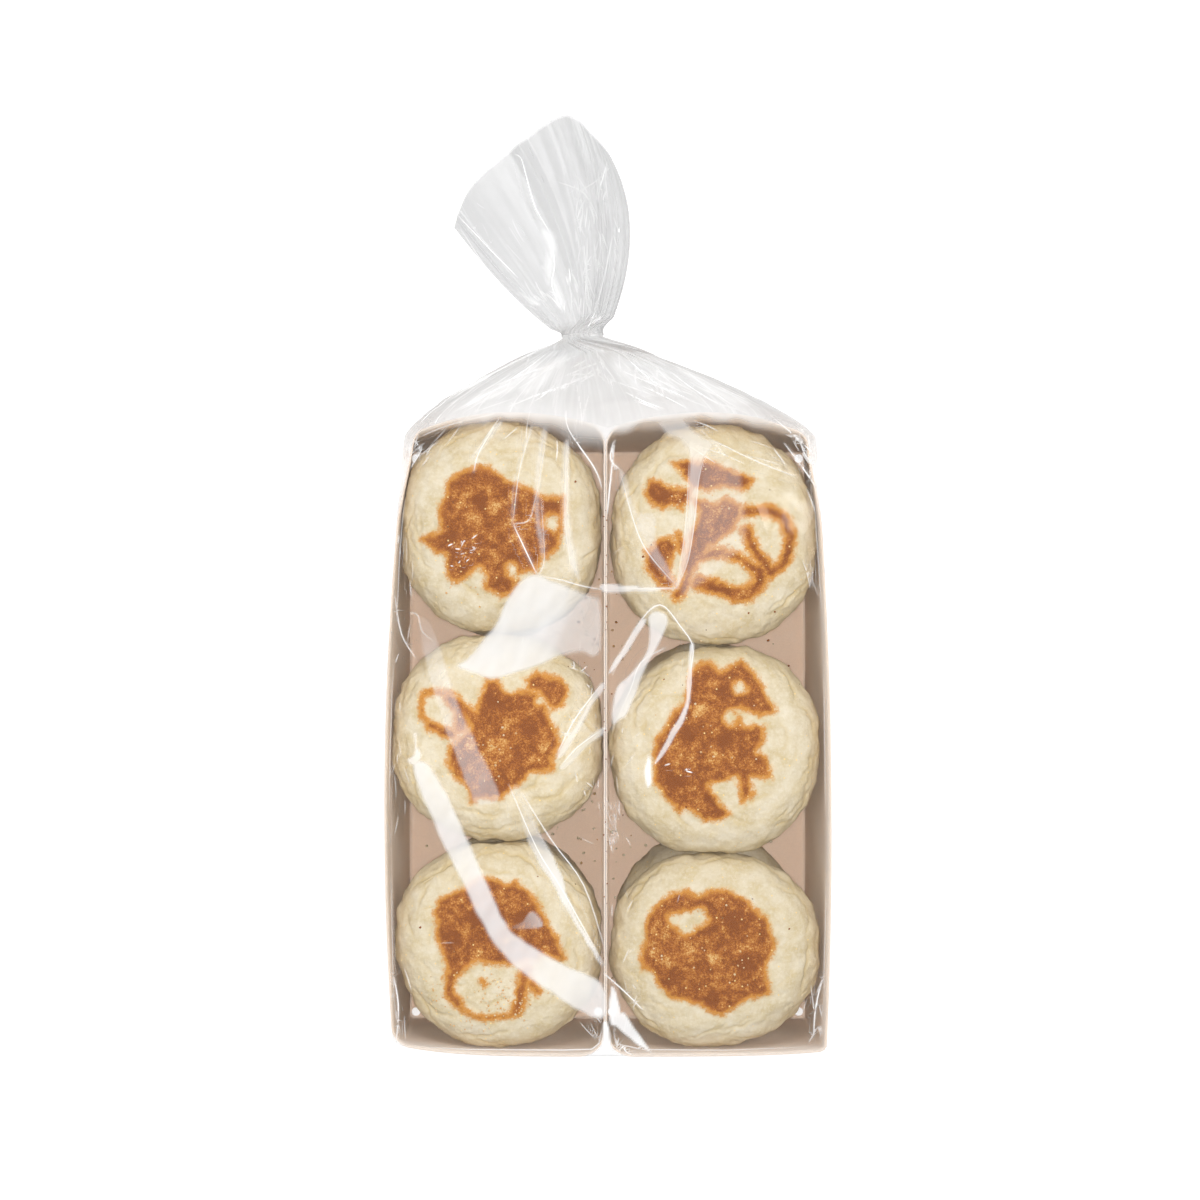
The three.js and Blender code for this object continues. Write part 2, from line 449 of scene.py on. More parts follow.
def fan_ridges(side, along):
    """The creases that stand up in the fan: one up its middle and one along its left edge."""
    middle = 0.4 + 0.05 * (1 - along)
    main = 2.6 * max(0.0, 1 - abs(side - middle) / 0.035) * smoothstep(along, 0.1, 0.5)
    seam = 1.5 * max(0.0, 1 - abs(side - 0.07) / 0.025)
    tuck = 1.2 * max(0.0, 1 - abs(side - 0.62 - 0.1 * along) / 0.02) * smoothstep(along, 0.9, 0.6)
    return main + seam + tuck


def fan_point(share, along):
    """The loose fan past the neck."""
    neck = turned(neck_point(share, 1), NECK_TWIST)
    across, up = on_disc(*on_square(share))
    side = (across + 1) / 2
    left = quadratic(FAN_LEFT_EDGE, along)
    right = quadratic(FAN_RIGHT_EDGE, along)
    mouth = spline(FAN_MOUTH, side)
    plan = []
    for axis in (0, 1):
        chord = lerp(FAN_TIP[axis], FAN_SHOULDER[axis], side)
        plan.append(lerp(left[axis], right[axis], side) + (mouth[axis] - chord) * along)
    depth = lerp(FAN_HALF_DEPTH, FAN_MOUTH_HALF_DEPTH, along)
    wrinkled = lerp(0.35, 1.2, smoothstep(side, 0.35, 0.65))
    fold = (0.14 + 1.5 * (1 - along) ** 2) * fold_wave(share) * wrinkled
    crumple = wrinkled * 0.9 * rough(share * 110, along * 22, 2, 3) * math.sin(math.pi * clamp(along * 1.1))
    wave = FAN_WAVE * along * math.sin(9 * side + 0.6)
    up_here = FAN_DROOP * along**2
    spread = Vector(
        (
            NECK_OFFSET + plan[0],
            SQUARE_END + NECK_DISTANCE + plan[1],
            NECK_HEIGHT - up_here + wave + depth * up + fold + crumple + fan_ridges(side, along),
        )
    )
    opening = smoothstep(along, 0, FAN_OPENING)
    return Vector((lerp(neck.x, spread.x, opening), spread.y, lerp(neck.z, spread.z, opening)))


# ---------------------------------------------------------------- muffins

# Radii are every 30 degrees from +X. The patches are in the muffin's own plan, from its centre.
Muffin = namedtuple("Muffin", "name x y radii patches strokes holes light dark")

UPPER_MUFFINS = [
    Muffin(
        "neck_left", -46.9, 20.4,
        [44.1, 46.6, 46.4, 47.0, 47.0, 45.6, 42.4, 45.0, 46.4, 45.0, 46.6, 46.6],
        [
            [(-9, 26), (-13, 25), (-21, 20), (-22, 15), (-25, 10), (-25, 3), (-24, -1), (-34, -5), (-26, -11),
             (-22, -11), (-22, -16), (-21, -22), (-18, -24), (-8, -17), (-5, -21), (-6, -26), (2, -30),
             (6, -28), (9, -23), (5, -20), (16, -19), (19, -12), (21, -13), (25, -9), (28, -1), (28, 13),
             (20, 13), (14, 17), (3, 20), (-3, 26)],
        ],
        [],
        [(23, 2, 3.4), (6, -18, 2.3)],
        [(-9, 4, 3), (-4, 17, 2.5), (-2, 9, 3.6), (14, 1, 3.6), (10, -8, 3)],
        [(-20, -4, 2), (-21, -12, 2.5), (24, 10, 3), (-8, 12, 3), (5, -14, 3)],
    ),
    Muffin(
        "neck_right", 45.7, 16.9,
        [44.6, 46.6, 48.2, 48.2, 48.6, 46.4, 44.6, 47.0, 47.6, 46.8, 47.6, 46.6],
        [
            [(-29, 24), (-30, 18), (-27, 14), (-23, 11), (-19, 12), (-14, 11), (-11, 16), (-9, 20), (-15, 20),
             (-20, 21), (-24, 24)],
            [(-19, 31), (-13, 32), (0, 32), (4, 29), (10, 27), (17, 24), (14, 20), (11, 19), (5, 21),
             (-5, 19), (-9, 20), (-12, 24)],
            [(-10, 16), (0, 14), (5, 16), (11, 13), (11, 7), (7, 2), (3, -1), (-2, -4), (-4, -9), (-8, -13),
             (-10, -19), (-13, -26), (-17, -29), (-19, -26), (-14, -17), (-13, -8), (-10, 2), (-7, 10)],
            [(-24, -1), (-19, 0), (-16, -5), (-19, -11), (-17, -20), (-20, -24), (-24, -21), (-29, -15),
             (-30, -7)],
        ],
        [
            ([(12.6, 10.5), (24, 10.5), (30, 6.6), (32, 0), (31, -7), (28, -12.7), (23.4, -15.5)], 2.7),
            ([(23.4, -15.5), (20, -10.4), (16, -5.9), (13.2, 2.6)], 2.5),
            ([(-7, -9), (2, -7), (11, -10), (18, -15.5)], 2.3),
            ([(-7, -20), (2, -22.5), (8, -25), (14, -25), (19, -20), (18.5, -15)], 3.3),
            ([(-15.5, 0), (-15, -6)], 1.8),
        ],
        [],
        [(3, -13, 3.4), (-2, 12, 3), (10, -24, 3), (5, 0, 3)],
        [(-6, 25, 4), (29, 4, 3.5), (30, -8, 3.5), (19, -15.5, 4), (2, -22.5, 3.2), (-27, -10, 3.5),
         (-24, 16, 4.5), (-12, 27, 3.5), (8, 24, 3), (-12, -10, 2.5)],
    ),
    Muffin(
        "middle_left", -47.7, -70.1,
        [45.4, 47.0, 45.6, 45.2, 46.6, 47.2, 45.2, 46.6, 45.0, 44.6, 45.6, 46.6],
        [
            [(-17, 17), (-11, 15), (-8, 12), (-6, 21), (-4, 26), (1, 26), (3, 21), (7, 20), (11, 21),
             (17, 21), (21, 15), (23, 9), (26, 4), (28, -1), (24, -7), (24, -13), (15, -14), (11, -19),
             (7, -20), (3, -25), (-7, -25), (-11, -27), (-12, -21), (-19, -13), (-21, -9), (-20, -3),
             (-11, 5), (-14, 11)],
            [(12, 26), (17, 29), (22, 28), (27, 26), (31, 21), (29, 15), (24, 13), (21, 16), (18, 20),
             (14, 21)],
        ],
        [
            ([(-19, 19.5), (-25, 20.6), (-30.4, 20), (-31.8, 16), (-32, 10), (-28.2, 6.7)], 1.3),
            ([(-28, 6.2), (-23.7, 4.4), (-18, 2.4)], 2.2),
            ([(-19, 17), (-15, 12), (-15, 6)], 3.2),
        ],
        [(19, 17, 1.7)],
        [(1, -2, 4.2), (21, -3, 3.0), (4, 6, 3.0), (-11, -2, 2.5)],
        [(-2, 16, 3), (-3, -20, 3.5), (14, 5, 3), (-21, 4, 2), (-19, 17, 2)],
    ),
    Muffin(
        "middle_right", 46.2, -75.7,
        [45.4, 47.4, 47.6, 45.2, 44.6, 46.0, 45.5, 46.4, 46.4, 44.4, 45.8, 46.0],
        [
            [(-11, 35), (-7, 38), (-2, 38), (2, 35), (11, 40), (15, 36), (19, 30), (22, 24), (26, 18),
             (19, 16), (14, 18), (10, 19), (5, 18), (15, 13), (21, 11), (20, 5), (17, 1), (21, -2),
             (23, -6), (23, -11), (14, -10), (16, -18), (11, -22), (10, -16), (9, -10), (1, -12), (-4, -14),
             (0, -19), (6, -26), (1, -29), (-5, -29), (-8, -26), (-14, -23), (-16, -26), (-19, -22),
             (-26, -13), (-27, -1), (-26, 6), (-21, 13), (-18, 18), (-13, 22), (-13, 27)],
        ],
        [],
        [(10, 28, 2.5), (6, 15, 2.5), (13, 14, 2.5)],
        [(-18, 1, 3.8), (-2, -1, 3.0), (12, -5, 3.4), (-7, 18, 3.4), (-1, 30, 3.4)],
        [(-2, -20, 2.5), (-12, 8, 3), (4, 6, 3), (2, 26, 3), (-18, -12, 3)],
    ),
    Muffin(
        "square_left", -47.7, -159.6,
        [44.8, 46.4, 46.0, 44.5, 46.0, 46.0, 44.6, 43.2, 44.2, 44.2, 45.0, 46.2],
        [
            [(-19, 24), (-12, 28), (-7, 31), (0, 31), (4, 28), (9, 29), (14, 25), (18, 20), (21, 14), (24, 9),
             (27, 4), (30, -4), (21, -2), (8, -6), (0, -6), (-7, -4), (-11, -6), (-16, -12), (-21, -10),
             (-22, -2), (-25, 3), (-26, 17), (-24, 22)],
        ],
        [
            ([(-18, -6), (-19.3, -12), (-19.5, -18), (-17, -22.5)], 2.4),
            ([(-17, -22.5), (-13, -26), (-8, -28.3), (-2.7, -29), (4, -28.2), (8.5, -26)], 1.2),
            ([(8.5, -26), (10.5, -21), (11.5, -15), (12.5, -8)], 2.5),
            ([(15, -14), (17.5, -17.5)], 1.8),
            ([(-6, -13), (-5, -14)], 1.2),
        ],
        [],
        [(-9, -3, 2.5), (21, 0, 2.1), (-15, 22, 2.1)],
        [(-18, -16, 2), (12, 14, 3.5), (-8, 14, 3.5), (-18, 6, 3)],
    ),
    Muffin(
        "square_right", 46.6, -161.8,
        [45.0, 45.8, 43.8, 41.4, 44.6, 46.2, 45.6, 45.0, 44.2, 41.8, 42.2, 44.4],
        [
            [(-23, 24), (-19, 26), (-13, 28), (-8, 25), (-2, 28), (4, 28), (10, 25), (16, 20), (21, 16),
             (23, 10), (25, 5), (23, 0), (21, -4), (21, -10), (23, -16), (13, -19), (9, -21), (2, -26),
             (-3, -24), (-8, -21), (-14, -19), (-19, -18), (-24, -14), (-28, -6), (-32, -7), (-33, -2),
             (-32, 3), (-31, 10), (-30, 16), (-27, 20)],
        ],
        [],
        [(-18, 15, 3.0), (-13, 14, 4.7), (-8, 16, 3.8)],
        [(-22, 10, 5.1), (-27, 3, 4.2), (-12, 3, 3.4), (-2, -1, 3.0)],
        [(8, 14, 4), (12, -4, 4), (-2, -18, 3), (-18, -8, 3)],
    ),
]

# Painted shade: the factor that darkens each upper muffin's colour as a whole, and the one for all the lower
# ones.
SHADE_DIMMING = [0.92, 0.93, 0.96, 0.93, 0.935, 0.91]
LOWER_SHADE_DIMMING = 0.93

# Seeds of the first muffin of each layer.
UPPER_SEED = 1
LOWER_SEED = 11

# How far each lower muffin is off the middle of the one above it, across and along.
LOWER_SHIFTS = [(0.9, -5.0), (-0.8, -1.6), (1.7, -0.6), (-1.3, 4.0), (1.7, 2.2), (-1.7, 4.4)]

CREASES_PER_MUFFIN = 36
CREASE_HALF_WIDTH = 1.4

# Lumps in the skin: how high, and how many millimetres across.
LUMPS = [(1.0, 18), (1.1, 8), (0.6, 4)]

# The half section of a muffin: its steps and its length, how square its shoulders are, its
# thickness as a share of its width, and the share of its length that a face takes.
PROFILE_STEPS = 500
SECTION_LENGTH = 120.0
FACE_FLATNESS = 4.0
SLENDERNESS = 0.41
FACE_SHARE = 0.4


def side_profile():
    """Half section of a muffin, as shares of its length, its radius and half its thickness."""
    points = []
    for step in range(PROFILE_STEPS + 1):
        turn = math.pi * step / PROFILE_STEPS
        points.append((abs(math.sin(turn)) ** (2 / FACE_FLATNESS), math.cos(turn)))
    lengths = [0.0]
    for (r0, z0), (r1, z1) in zip(points, points[1:]):
        lengths.append(lengths[-1] + math.hypot(r1 - r0, (z1 - z0) * SLENDERNESS))
    return [(length / lengths[-1], *point) for length, point in zip(lengths, points)]


SIDE_PROFILE = side_profile()
PROFILE_SHARES = [row[0] for row in SIDE_PROFILE]


def on_profile(share):
    """Radius and height on the muffin's half section, at a share of its length."""
    i = clamp(bisect_left(PROFILE_SHARES, share), 1, PROFILE_STEPS)
    (s0, r0, z0), (s1, r1, z1) = SIDE_PROFILE[i - 1], SIDE_PROFILE[i]
    t = clamp((share - s0) / (s1 - s0))
    return lerp(r0, r1, t), lerp(z0, z1, t)


def radius_at(radii, turn):
    """The muffin's radius in the direction of turn, smoothly between the given ones."""
    count = len(radii)
    place = (turn / (2 * math.pi) * count) % count
    i = int(place)
    return catmull(*(radii[(i + k) % count] for k in (-1, 0, 1, 2)), place - i)


def toast_depth(muffin, x, y):
    """How far a place on the upper face lies inside the toasted patches."""
    wx = x + 1.1 * rough(x, y, 3.1, 5) + 0.5 * rough(x, y, 7.7, 1.8)
    wy = y + 1.1 * rough(x, y, 11.3, 5) + 0.5 * rough(x, y, 17.9, 1.8)
    depth = max(depth_inside(patch, wx, wy) for patch in muffin.patches)
    for path, radius in muffin.strokes:
        depth = max(depth, radius - distance_to_path(path, wx, wy)[0])
    for hx, hy, radius in muffin.holes:
        depth = min(depth, math.hypot(wx - hx, wy - hy) - radius)
    return depth


def toast_tone(muffin, x, y):
    """0.5 in an evenly toasted place, less where it is darker and more where it is paler."""
    tone = 0.5
    for px, py, radius in muffin.light:
        tone += 0.26 * (1 - smoothstep(math.hypot(x - px, y - py), 0.3 * radius, 1.5 * radius))
    for px, py, radius in muffin.dark:
        tone -= 0.38 * (1 - smoothstep(math.hypot(x - px, y - py), 0.3 * radius, 1.8 * radius))
    return clamp(tone + 0.14 * rough(x, y, 23, 3) + 0.1 * rough(x, y, 41, 1.4))


def rim_creases(seed, count):
    """Folds in the skin round a muffin: direction, half its spread, place on the section, depth."""
    draw = random.Random(seed)
    creases = []
    for _ in range(count):
        turn = draw.uniform(0, 2 * math.pi)
        spread = draw.uniform(0.1, 0.42)
        place = draw.uniform(0.2, 0.46)
        depth = draw.uniform(0.4, 1.2)
        slant = draw.uniform(-0.06, 0.06)
        wander = draw.uniform(0, 2 * math.pi)
        creases.append((turn, spread, place, depth, slant, wander))
    return creases


def crease_depth(creases, turn, share):
    """How deep the folds of the skin are at a place."""
    deepest = 0.0
    for middle, spread, place, depth, slant, wander in creases:
        off = (turn - middle + math.pi) % (2 * math.pi) - math.pi
        if abs(off) > spread:
            continue
        place += slant * off / spread + 0.007 * math.sin(14 * off + wander) + 0.003 * math.sin(37 * off)
        gap = abs(share - place) * SECTION_LENGTH / CREASE_HALF_WIDTH
        if gap < 1:
            deepest = max(deepest, depth * (1 - gap) * (1 - (off / spread) ** 2))
    return deepest


def tray_room(side, y, z):
    """How far from the pack's middle a muffin's skin may reach inside a tray's outer wall."""
    distance = y - SQUARE_END
    lift = clamp((z - FLOOR_HEIGHT) / WALL_HEIGHT)
    return tray_wall(side, distance, lift) - SKIN_INSIDE_WALL


def make_muffin(name, muffin, layer, seed, shade_dimming):
    """One muffin: a flat-faced round with full sides, lumpy skin and toasted patches."""
    bm = cut_box(layer.cells, layer.cells, layer.rows)
    bake = bm.verts.layers.float_color.new("bake")
    creases = rim_creases(seed, CREASES_PER_MUFFIN)
    tray = 1 if muffin.x > DIVIDER else -1
    half = (layer.top - layer.base) / 2
    off = seed * 37.0
    for vert in bm.verts:
        s, t, level = vert.co
        u, v = on_disc(s, t)
        rho = math.hypot(u, v)
        turn = math.atan2(v, u)
        if abs(level) > 0.999:
            share = rho * FACE_SHARE
            share = share if level > 0 else 1 - share
        else:
            share = lerp(FACE_SHARE, 1 - FACE_SHARE, (1 - level) / 2)
        r, z = on_profile(share)
        reach = radius_at(muffin.radii, turn)
        x = reach * r * math.cos(turn)
        y = reach * r * math.sin(turn)
        up = half * z
        out = r**3
        lumps = 0.0
        for size, feature in LUMPS:
            lumps += size * rough(x + off, y, up, feature)
        pits = 0.15 * rough(x + off, y, up, 1.6) - 0.5 * smoothstep(rough(x, y + off, up, 3), 0.3, 0.7)
        crease = crease_depth(creases, turn, share)
        depth = -5.0
        tone = 0.5
        if layer.toasted and level > 0.999 and r < 0.97:
            depth = toast_depth(muffin, x, y)
            tone = toast_tone(muffin, x, y)
        sunk = 0.0
        if layer.toasted and z > 0:
            sunk = 0.45 * smoothstep(-depth, -0.6, 1.4) * smoothstep(r, 0.8, 0.6)
        swell = lumps * (0.55 + 0.45 * out) + pits - crease
        x += swell * out * math.cos(turn)
        y += swell * out * math.sin(turn)
        up += (swell * (1 - out) - sunk) * (1 if z > 0 else -0.6)
        height = min((layer.base + layer.top) / 2 + up, layer.top + TOP_SPARE)
        reach = min(tray * (muffin.x + x), tray_room(tray, muffin.y + y, height))
        vert.co = (tray * reach, muffin.y + y, height)
        # Painted shade: blue darkens and yellows the skin in its creases and on its rounded side; alpha
        # darkens the whole muffin.
        side = smoothstep(r, 0.8, 1.0)
        vert[bake] = (clamp(0.5 + depth / 10), tone, clamp(0.7 * crease + 0.3 * side), shade_dimming)
    return finish_piece(bm, name, muffin_skin, "crumb")


# ---------------------------------------------------------------- crumbs

CRUMBS = 90
DIVIDER_CRUMBS = 26

# Where the floors' crumbs may lie: across and along the trays, and how far from the divider every
# third one is. They keep clear of the muffins' feet and of the divider.
FLOOR_REACH = 84.0
FLOOR_ENDS = (10.0, 252.0)
BESIDE_DIVIDER = (3.0, 12.0)
CLEAR_OF_MUFFIN = 3.0
CLEAR_OF_DIVIDER = 2.5
FLOOR_TOP = 1.2

# Stretches of golden cornmeal on the skin: middle, spread across and along, how many grains.
MEAL = [(-44, -181, 7, 5, 70), (-52, -172, 4, 4, 14), (-74, -178, 4, 5, 22), (-60, -192, 5, 2, 14),
        (-64, -8, 6, 4, 10), (-50, -72, 9, 8, 20), (44, 30, 9, 3, 16), (62, 10, 5, 9, 12),
        (44, -66, 12, 14, 16), (45, -160, 13, 10, 24)]

# Dark specks that lie on the muffins.
SPECKS = [(71.4, -15.6), (77.3, -150.7), (36.1, -157.0), (62.5, -172.0), (-30.0, -128.5), (-14.0, 40.0),
          (15.0, 8.0), (60.0, -16.0), (24.0, -44.5), (-66.0, -26.0), (-80.0, -150.0), (33.2, -98.5)]


def skin_top(muffins, x, y):
    """Height of the upper muffins' skin at a place; nothing where there is none."""
    for muffin in muffins:
        hit, place, _, _ = muffin.ray_cast(Vector((x * MM, y * MM, 1)), Vector((0, 0, -1)))
        if hit:
            return place.z / MM
    return None


def add_crumb(bm, bake, draw, place, size, depth, tone):
    """One uneven crumb; depth and tone say how toasted it is, as on the muffins."""
    made = bmesh.ops.create_icosphere(bm, subdivisions=1, radius=size)["verts"]
    for vert in made:
        vert.co *= draw.uniform(0.7, 1.3)
        vert.co.z *= 0.7
        vert.co += Vector(place)
        vert[bake] = (depth, tone, 0, 1)


def make_crumbs(muffins):
    """Crumbs on the floors of the trays and along the divider; specks and golden meal on the muffins."""
    draw = random.Random(5)
    bm = bmesh.new()
    bake = bm.verts.layers.float_color.new("bake")
    placed = 0
    while placed < CRUMBS:
        x = draw.uniform(-FLOOR_REACH, FLOOR_REACH)
        distance = draw.uniform(*FLOOR_ENDS)
        if placed % 3 == 0:
            x = DIVIDER + draw.choice((-1, 1)) * draw.uniform(*BESIDE_DIVIDER)
        y = SQUARE_END + distance
        near = min(math.hypot(x - muffin.x, y - muffin.y) for muffin in UPPER_MUFFINS)
        if near < LOWER_RADIUS + CLEAR_OF_MUFFIN or abs(x - DIVIDER) < CLEAR_OF_DIVIDER:
            continue
        size = draw.uniform(0.3, 0.85)
        depth = draw.choice((0.0, 0.0, 0.45, 0.7))
        add_crumb(bm, bake, draw, (x, y, FLOOR_TOP + 0.55 * size), size, depth, draw.uniform(0.2, 0.7))
        placed += 1
    for _ in range(DIVIDER_CRUMBS):
        place = (DIVIDER + draw.uniform(-0.9, 0.9), SQUARE_END + draw.uniform(12, 252), RIM_HEIGHT)
        add_crumb(bm, bake, draw, place, draw.uniform(0.2, 0.42), 1.0, draw.uniform(0.0, 0.3))
    for x, y in SPECKS:
        top = skin_top(muffins, x, y)
        if top:
            add_crumb(bm, bake, draw, (x, y, top), draw.uniform(0.35, 0.6), 1.0, 0.0)
    for middle_x, middle_y, half_x, half_y, count in MEAL:
        for _ in range(count):
            x = draw.gauss(middle_x, half_x)
            y = draw.gauss(middle_y, half_y)
            top = skin_top(muffins, x, y)
            if top:
                add_crumb(bm, bake, draw, (x, y, top), draw.uniform(0.3, 0.6), draw.uniform(0.38, 0.46), 0.9)
    return finish_piece(bm, "crumbs_on_floors", muffin_skin, "crumb")


# ---------------------------------------------------------------- trays


def tray_outline(side, across, along, lift):
    """A place on a tray's wall: across and along run from -1 to 1, lift from 0 to 1."""
    inner = DIVIDER + side * (BOARD_GAP / 2)
    distance = (along + 1) / 2 * (TRAY_LENGTH + FLOOR_INSET)
    outer = side * tray_wall(side, distance, lift)
    share = (across + 1) / 2 if side > 0 else (1 - across) / 2
    x = lerp(inner, outer, share)
    start = (square_end(x, lift) + TRAY_CLEAR_OF_FILM / 2) * (1 - along) / 2
    lean = (neck_end_lean(x) * lift - TRAY_CLEAR_OF_FILM) * smoothstep(along, 0.2, 1)
    return x, distance + start + lean


# Radii of a tray's corners at the rim: at the square end, then at the neck end.
CORNER_RADII = {"divider": (11.0, 7.0), -1: (7.0, 4.0), 1: (3.0, 4.0)}


def corner_pull(across, along, half_x, half_y, radius):
    """Rounds the corners of a rectangle in plan."""
    over_x = abs(across) * half_x - (half_x - radius)
    over_y = abs(along) * half_y - (half_y - radius)
    if over_x <= 0 or over_y <= 0:
        return across, along
    ux, uy = over_x / radius, over_y / radius
    px = half_x - radius + radius * ux * math.sqrt(1 - uy * uy / 2)
    py = half_y - radius + radius * uy * math.sqrt(1 - ux * ux / 2)
    return math.copysign(px / half_x, across), math.copysign(py / half_y, along)


def tray_point(side, s, t, lift):
    """A point of a tray from its place on the flat: s across, t along, lift up its wall."""
    near_divider = s * side < 0
    radii = CORNER_RADII["divider"] if near_divider else CORNER_RADII[side]
    radius = radii[0 if t < 0 else 1] * lerp(0.3, 1.0, lift)
    across, along = corner_pull(s, t, TRAY_WIDTH / 2, TRAY_LENGTH / 2, radius)
    x, distance = tray_outline(side, across, along, lift)
    wobble = 0.25 * rough(x, distance, lift * 60, 40) * lift
    up = FLOOR_HEIGHT + lift * WALL_HEIGHT
    return Vector((x - side * abs(wobble) * 0.5, SQUARE_END + distance, up))


def round_the_holes(bm, side):
    """Makes the square gaps in the floor's corners round."""
    floor_border = [vert for vert in bm.verts if vert.is_boundary and vert.co.z < RIM_HEIGHT / 2]
    for right in (False, True):
        for far in (False, True):
            ring = []
            for vert in floor_border:
                if (vert.co.x > side * TRAY_WIDTH / 2) == right and (vert.co.y > 0) == far:
                    ring.append(vert)
            if not ring:
                continue
            centre = sum((vert.co for vert in ring), Vector()) / len(ring)
            for vert in ring:
                vert.co = centre + (vert.co - centre).normalized() * HOLE_RADIUS


def make_tray(name, side):
    """A folded paperboard tray: floor, four walls, and a small round hole at three floor corners."""
    columns, rows, levels = 46, 130, 14
    bm = bmesh.new()
    bmesh.ops.create_grid(bm, x_segments=columns, y_segments=rows, size=1)
    step_x, step_y = 2 / columns, 2 / rows
    cells = []
    for face in bm.faces:
        middle = face.calc_center_median()
        if middle.y > 0 and middle.x * side < 0:
            continue
        if abs(abs(middle.x) - (1 - 1.5 * step_x)) < 0.3 * step_x:
            if abs(abs(middle.y) - (1 - 1.5 * step_y)) < 0.3 * step_y:
                cells.append(face)
    rim = [edge for edge in bm.edges if edge.is_boundary]
    for _ in range(levels):
        grown = bmesh.ops.extrude_edge_only(bm, edges=rim)["geom"]
        raised = [item for item in grown if isinstance(item, bmesh.types.BMVert)]
        bmesh.ops.translate(bm, vec=(0, 0, 1 / levels), verts=raised)
        rim = [item for item in grown if isinstance(item, bmesh.types.BMEdge) and item.is_boundary]
    hole_edges = [edge for face in cells for edge in face.edges]
    bmesh.ops.delete(bm, geom=cells, context="FACES_ONLY")
    bmesh.ops.subdivide_edges(bm, edges=hole_edges, cuts=2)
    for vert in bm.verts:
        vert.co = tray_point(side, vert.co.x, vert.co.y, vert.co.z)
    round_the_holes(bm, side)
    bmesh.ops.recalc_face_normals(bm, faces=bm.faces)
    floor = min(bm.faces, key=lambda f: f.calc_center_median().z)
    if floor.normal.z < 0:
        bmesh.ops.reverse_faces(bm, faces=bm.faces)
    tray = finish_piece(bm, name, board, "board")
    wall = tray.modifiers.new("board_thickness", "SOLIDIFY")
    wall.thickness = BOARD * MM
    wall.offset = 1
    return tray


# ---------------------------------------------------------------- film

# Painted highlights, fine bright lines over the shoulders, and the way round the film where they start and
# end.
RAYS = 200
GIRTH_AT_RIM = 520.0
GIRTH_AT_NECK = 60.0

# How milky and how bright the film is at the rim of the neck end and on the shoulders, and how
# far its haze reaches over the trays, as a share of their length.
RIM_VEIL = 0.62
RIM_TONE = 0.7
SHOULDER_VEIL = 0.56
SHOULDER_TONE = 0.57
HAZE_REACH = 0.02
HAZE_AT_DIVIDER = 0.05
RIM_LINE_INSET = 2.8
